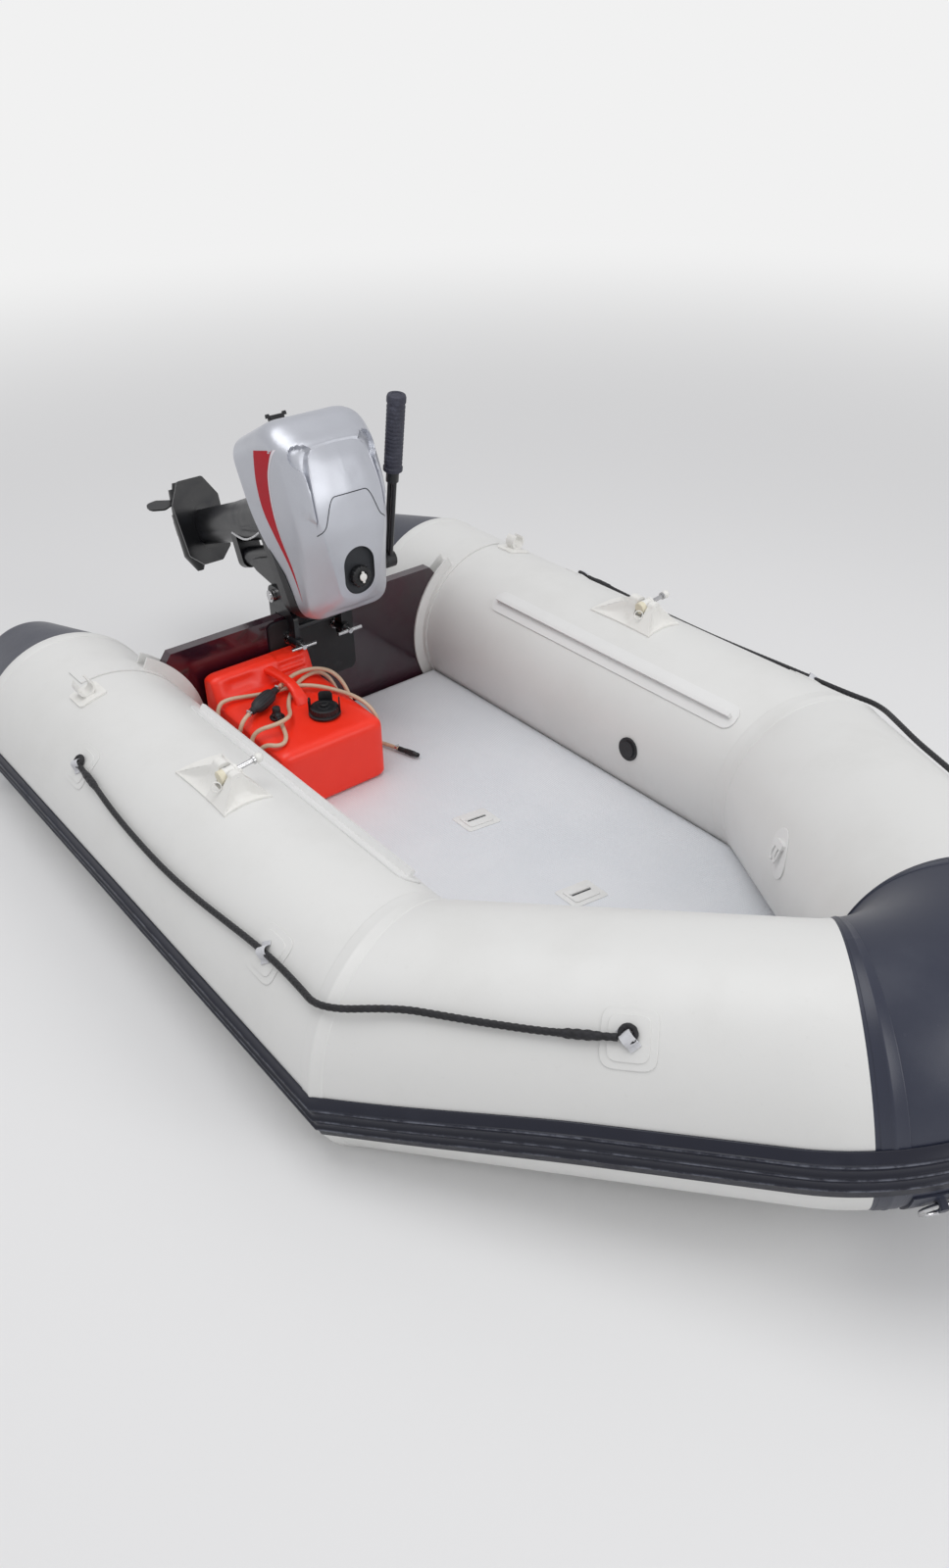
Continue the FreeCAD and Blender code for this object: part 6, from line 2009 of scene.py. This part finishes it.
skins = []
slit_shades = []
for station in PATCH_STATIONS:
    skins.append(deck_plate("base", station, 66, 82, 0, 1.4, 7))
    skins.append(deck_plate("flap", station, 44, 60, 1, 4.2, 6, edge=1.6))
    # the slit is a thin dark plate on the flap: painted shade in place of the opening
    slit_shades.append(deck_plate("slit", station, 3.6, 46, 3.4, 4.6, 1.6, edge=0.2))
    skins.append(deck_plate("lip", station - lip_setback, 5, 50, 3.4, 7.4, 2.2, edge=1.4))
add_joined("deck_patches", skins, "hull", patch_cloth, "deck", ["deck_strap_patches"])
# the dark slit plates are painted shade for the openings in the flaps
add_joined("deck_slit_shades", slit_shades, "hull", valve_plastic, "deck")
print("deck patches", len(PATCH_STATIONS))

# %% [markdown]
# The cowl's latch is a thin lever with turned-up ends on a low base.
# A bright bent rod runs up the leg's side to an eye on its neck, and works the shift.

# %% Latch and shift rod
latch_box_low, latch_box_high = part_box("cowl_latch")
latch_middle = (Vector(latch_box_low) + Vector(latch_box_high)) / 2
latch_out = motor_way(-1, 0, 0)
latch_up = motor_way(0, 0, 1)
lever = [
    plate("lever_base", latch_middle, latch_up, across, latch_out, 20, 38, -14, 6, 5, edge=2),
    plate("lever", latch_middle + latch_up * 2 * MM, latch_up, across, latch_out, 12, 54, 5, 10, 5, edge=1.6),
]
for way in (-1, 1):
    tip = latch_middle + (across * 22 * way + latch_up * 2 + latch_out * 9) * MM
    lever.append(plate("lever_tip", tip, latch_up, across, latch_out, 10, 9, -1, 5, 3, edge=1.4))
add_joined("latch_lever", lever, "motor", black_plastic, "black_plastic", ["cowl_latch"])

ROD_ROUTE = (
    (-156, -44, -190), (-146, -47, -160), (-134, -47, -120), (-140, -45, -70), (-152, -43, -30),
    (-152, -42, -8),
)
EYE_PROFILE = ((1, -6), (6.5, -6), (6.5, 5), (1, 5.6))
rod_radius = 3.0
rod_sides = 14


def bent_rod(route):
    """A wire rod through its points with small rounded bends."""
    centre = centre_points("bent_rod", [on_motor(*place) for place in route])
    turns = [2 * math.pi * k / rod_sides for k in range(rod_sides)]
    rows = []
    for place, (side_way, up_way) in zip(centre, frames_along(centre)):
        outs = [side_way * math.cos(turn) + up_way * math.sin(turn) for turn in turns]
        rows.append([place + out * rod_radius * MM for out in outs])
    return skin_mesh("bent_rod", rows, round_way=True, ends=True, sharp_degrees=60)


rod_eye = turned("rod_eye", on_motor(*ROD_ROUTE[-1]), motor_way(0, -1, 0), EYE_PROFILE, sides=24)
add_joined("shift_rod", [bent_rod(ROD_ROUTE), rod_eye], "motor", steel_metal, "steel")
print("shift rod points", len(ROD_ROUTE))

# %% [markdown]
# The boat floats, so the floor stands at its waterline and hides the hull below it.
# The light is a pale dome with a large soft lamp above and another off the bow, like an overcast day.
# Far from the boat the camera sees the floor at the backdrop's own tone, so no horizon shows,
# while near it the floor is plain paint that takes the boat's shadow.

# %% Floor and light
floor_tone = 0.82
dome_light = 0.60
backdrop_tone = 0.88
shadow_reach = 1.9
horizon_reach = 7.5


def make_floor():
    bpy.ops.mesh.primitive_plane_add(size=40.0, location=(0, 0, waterline))
    floor = bpy.context.object
    floor.name = "floor"
    finish = Finish("floor_paint", roughness=0.9, specular_ior_level=0.1)
    cloud = finish.noise(0.6, 3.0, 0.5)
    finish.set("Base Color", finish.mix(cloud, (floor_tone,) * 3, (floor_tone * 0.98,) * 3))
    x, y, _ = finish.axes()
    far = (x * x + y * y).math("SQRT").fade(shadow_reach, horizon_reach)
    seen = finish.node("LightPath", None, (), "Is Camera Ray").math(
        "MAXIMUM", finish.node("LightPath", None, (), "Is Glossy Ray"),
    )
    glow = finish.node("Emission", None, {"Color": (backdrop_tone,) * 3})
    painted = Wire(finish, finish.shader.outputs[0])
    blend = finish.node("MixShader", None, [far * seen, painted, glow])
    finish.links.new(blend.socket, finish.nodes["Material Output"].inputs["Surface"])
    floor.data.materials.append(finish.material)
    return floor


def make_dome():
    world = bpy.data.worlds.new("dome")
    bpy.context.scene.world = world
    world.use_nodes = True
    tree = world.node_tree
    seen = tree.nodes.new("ShaderNodeLightPath")
    mix = tree.nodes.new("ShaderNodeMix")
    mix.data_type = "RGBA"
    mix.inputs[6].default_value = (dome_light, dome_light, dome_light * 1.02, 1)
    mix.inputs[7].default_value = (backdrop_tone, backdrop_tone, backdrop_tone, 1)
    tree.links.new(seen.outputs["Is Camera Ray"], mix.inputs[0])
    tree.links.new(mix.outputs[2], tree.nodes["Background"].inputs["Color"])


def soft_lamp(name, place, aim, size, power):
    data = bpy.data.lights.new(name, "AREA")
    data.shape = "DISK"
    data.size = size
    data.energy = power
    lamp = bpy.data.objects.new(name, data)
    bpy.context.scene.collection.objects.link(lamp)
    lamp.location = place
    lamp.rotation_mode = "QUATERNION"
    lamp.rotation_quaternion = (Vector(aim) - Vector(place)).to_track_quat("-Z", "Y")
    return lamp


make_floor()
make_dome()
soft_lamp("sky_lamp", (-0.3, -0.7, 4.0), (0, 0, 0.3), 3.0, 52.0)
soft_lamp("bow_lamp", (3.9, 0.9, 2.3), (0, 0, 0.3), 2.6, 43.0)
print("floor at", waterline)
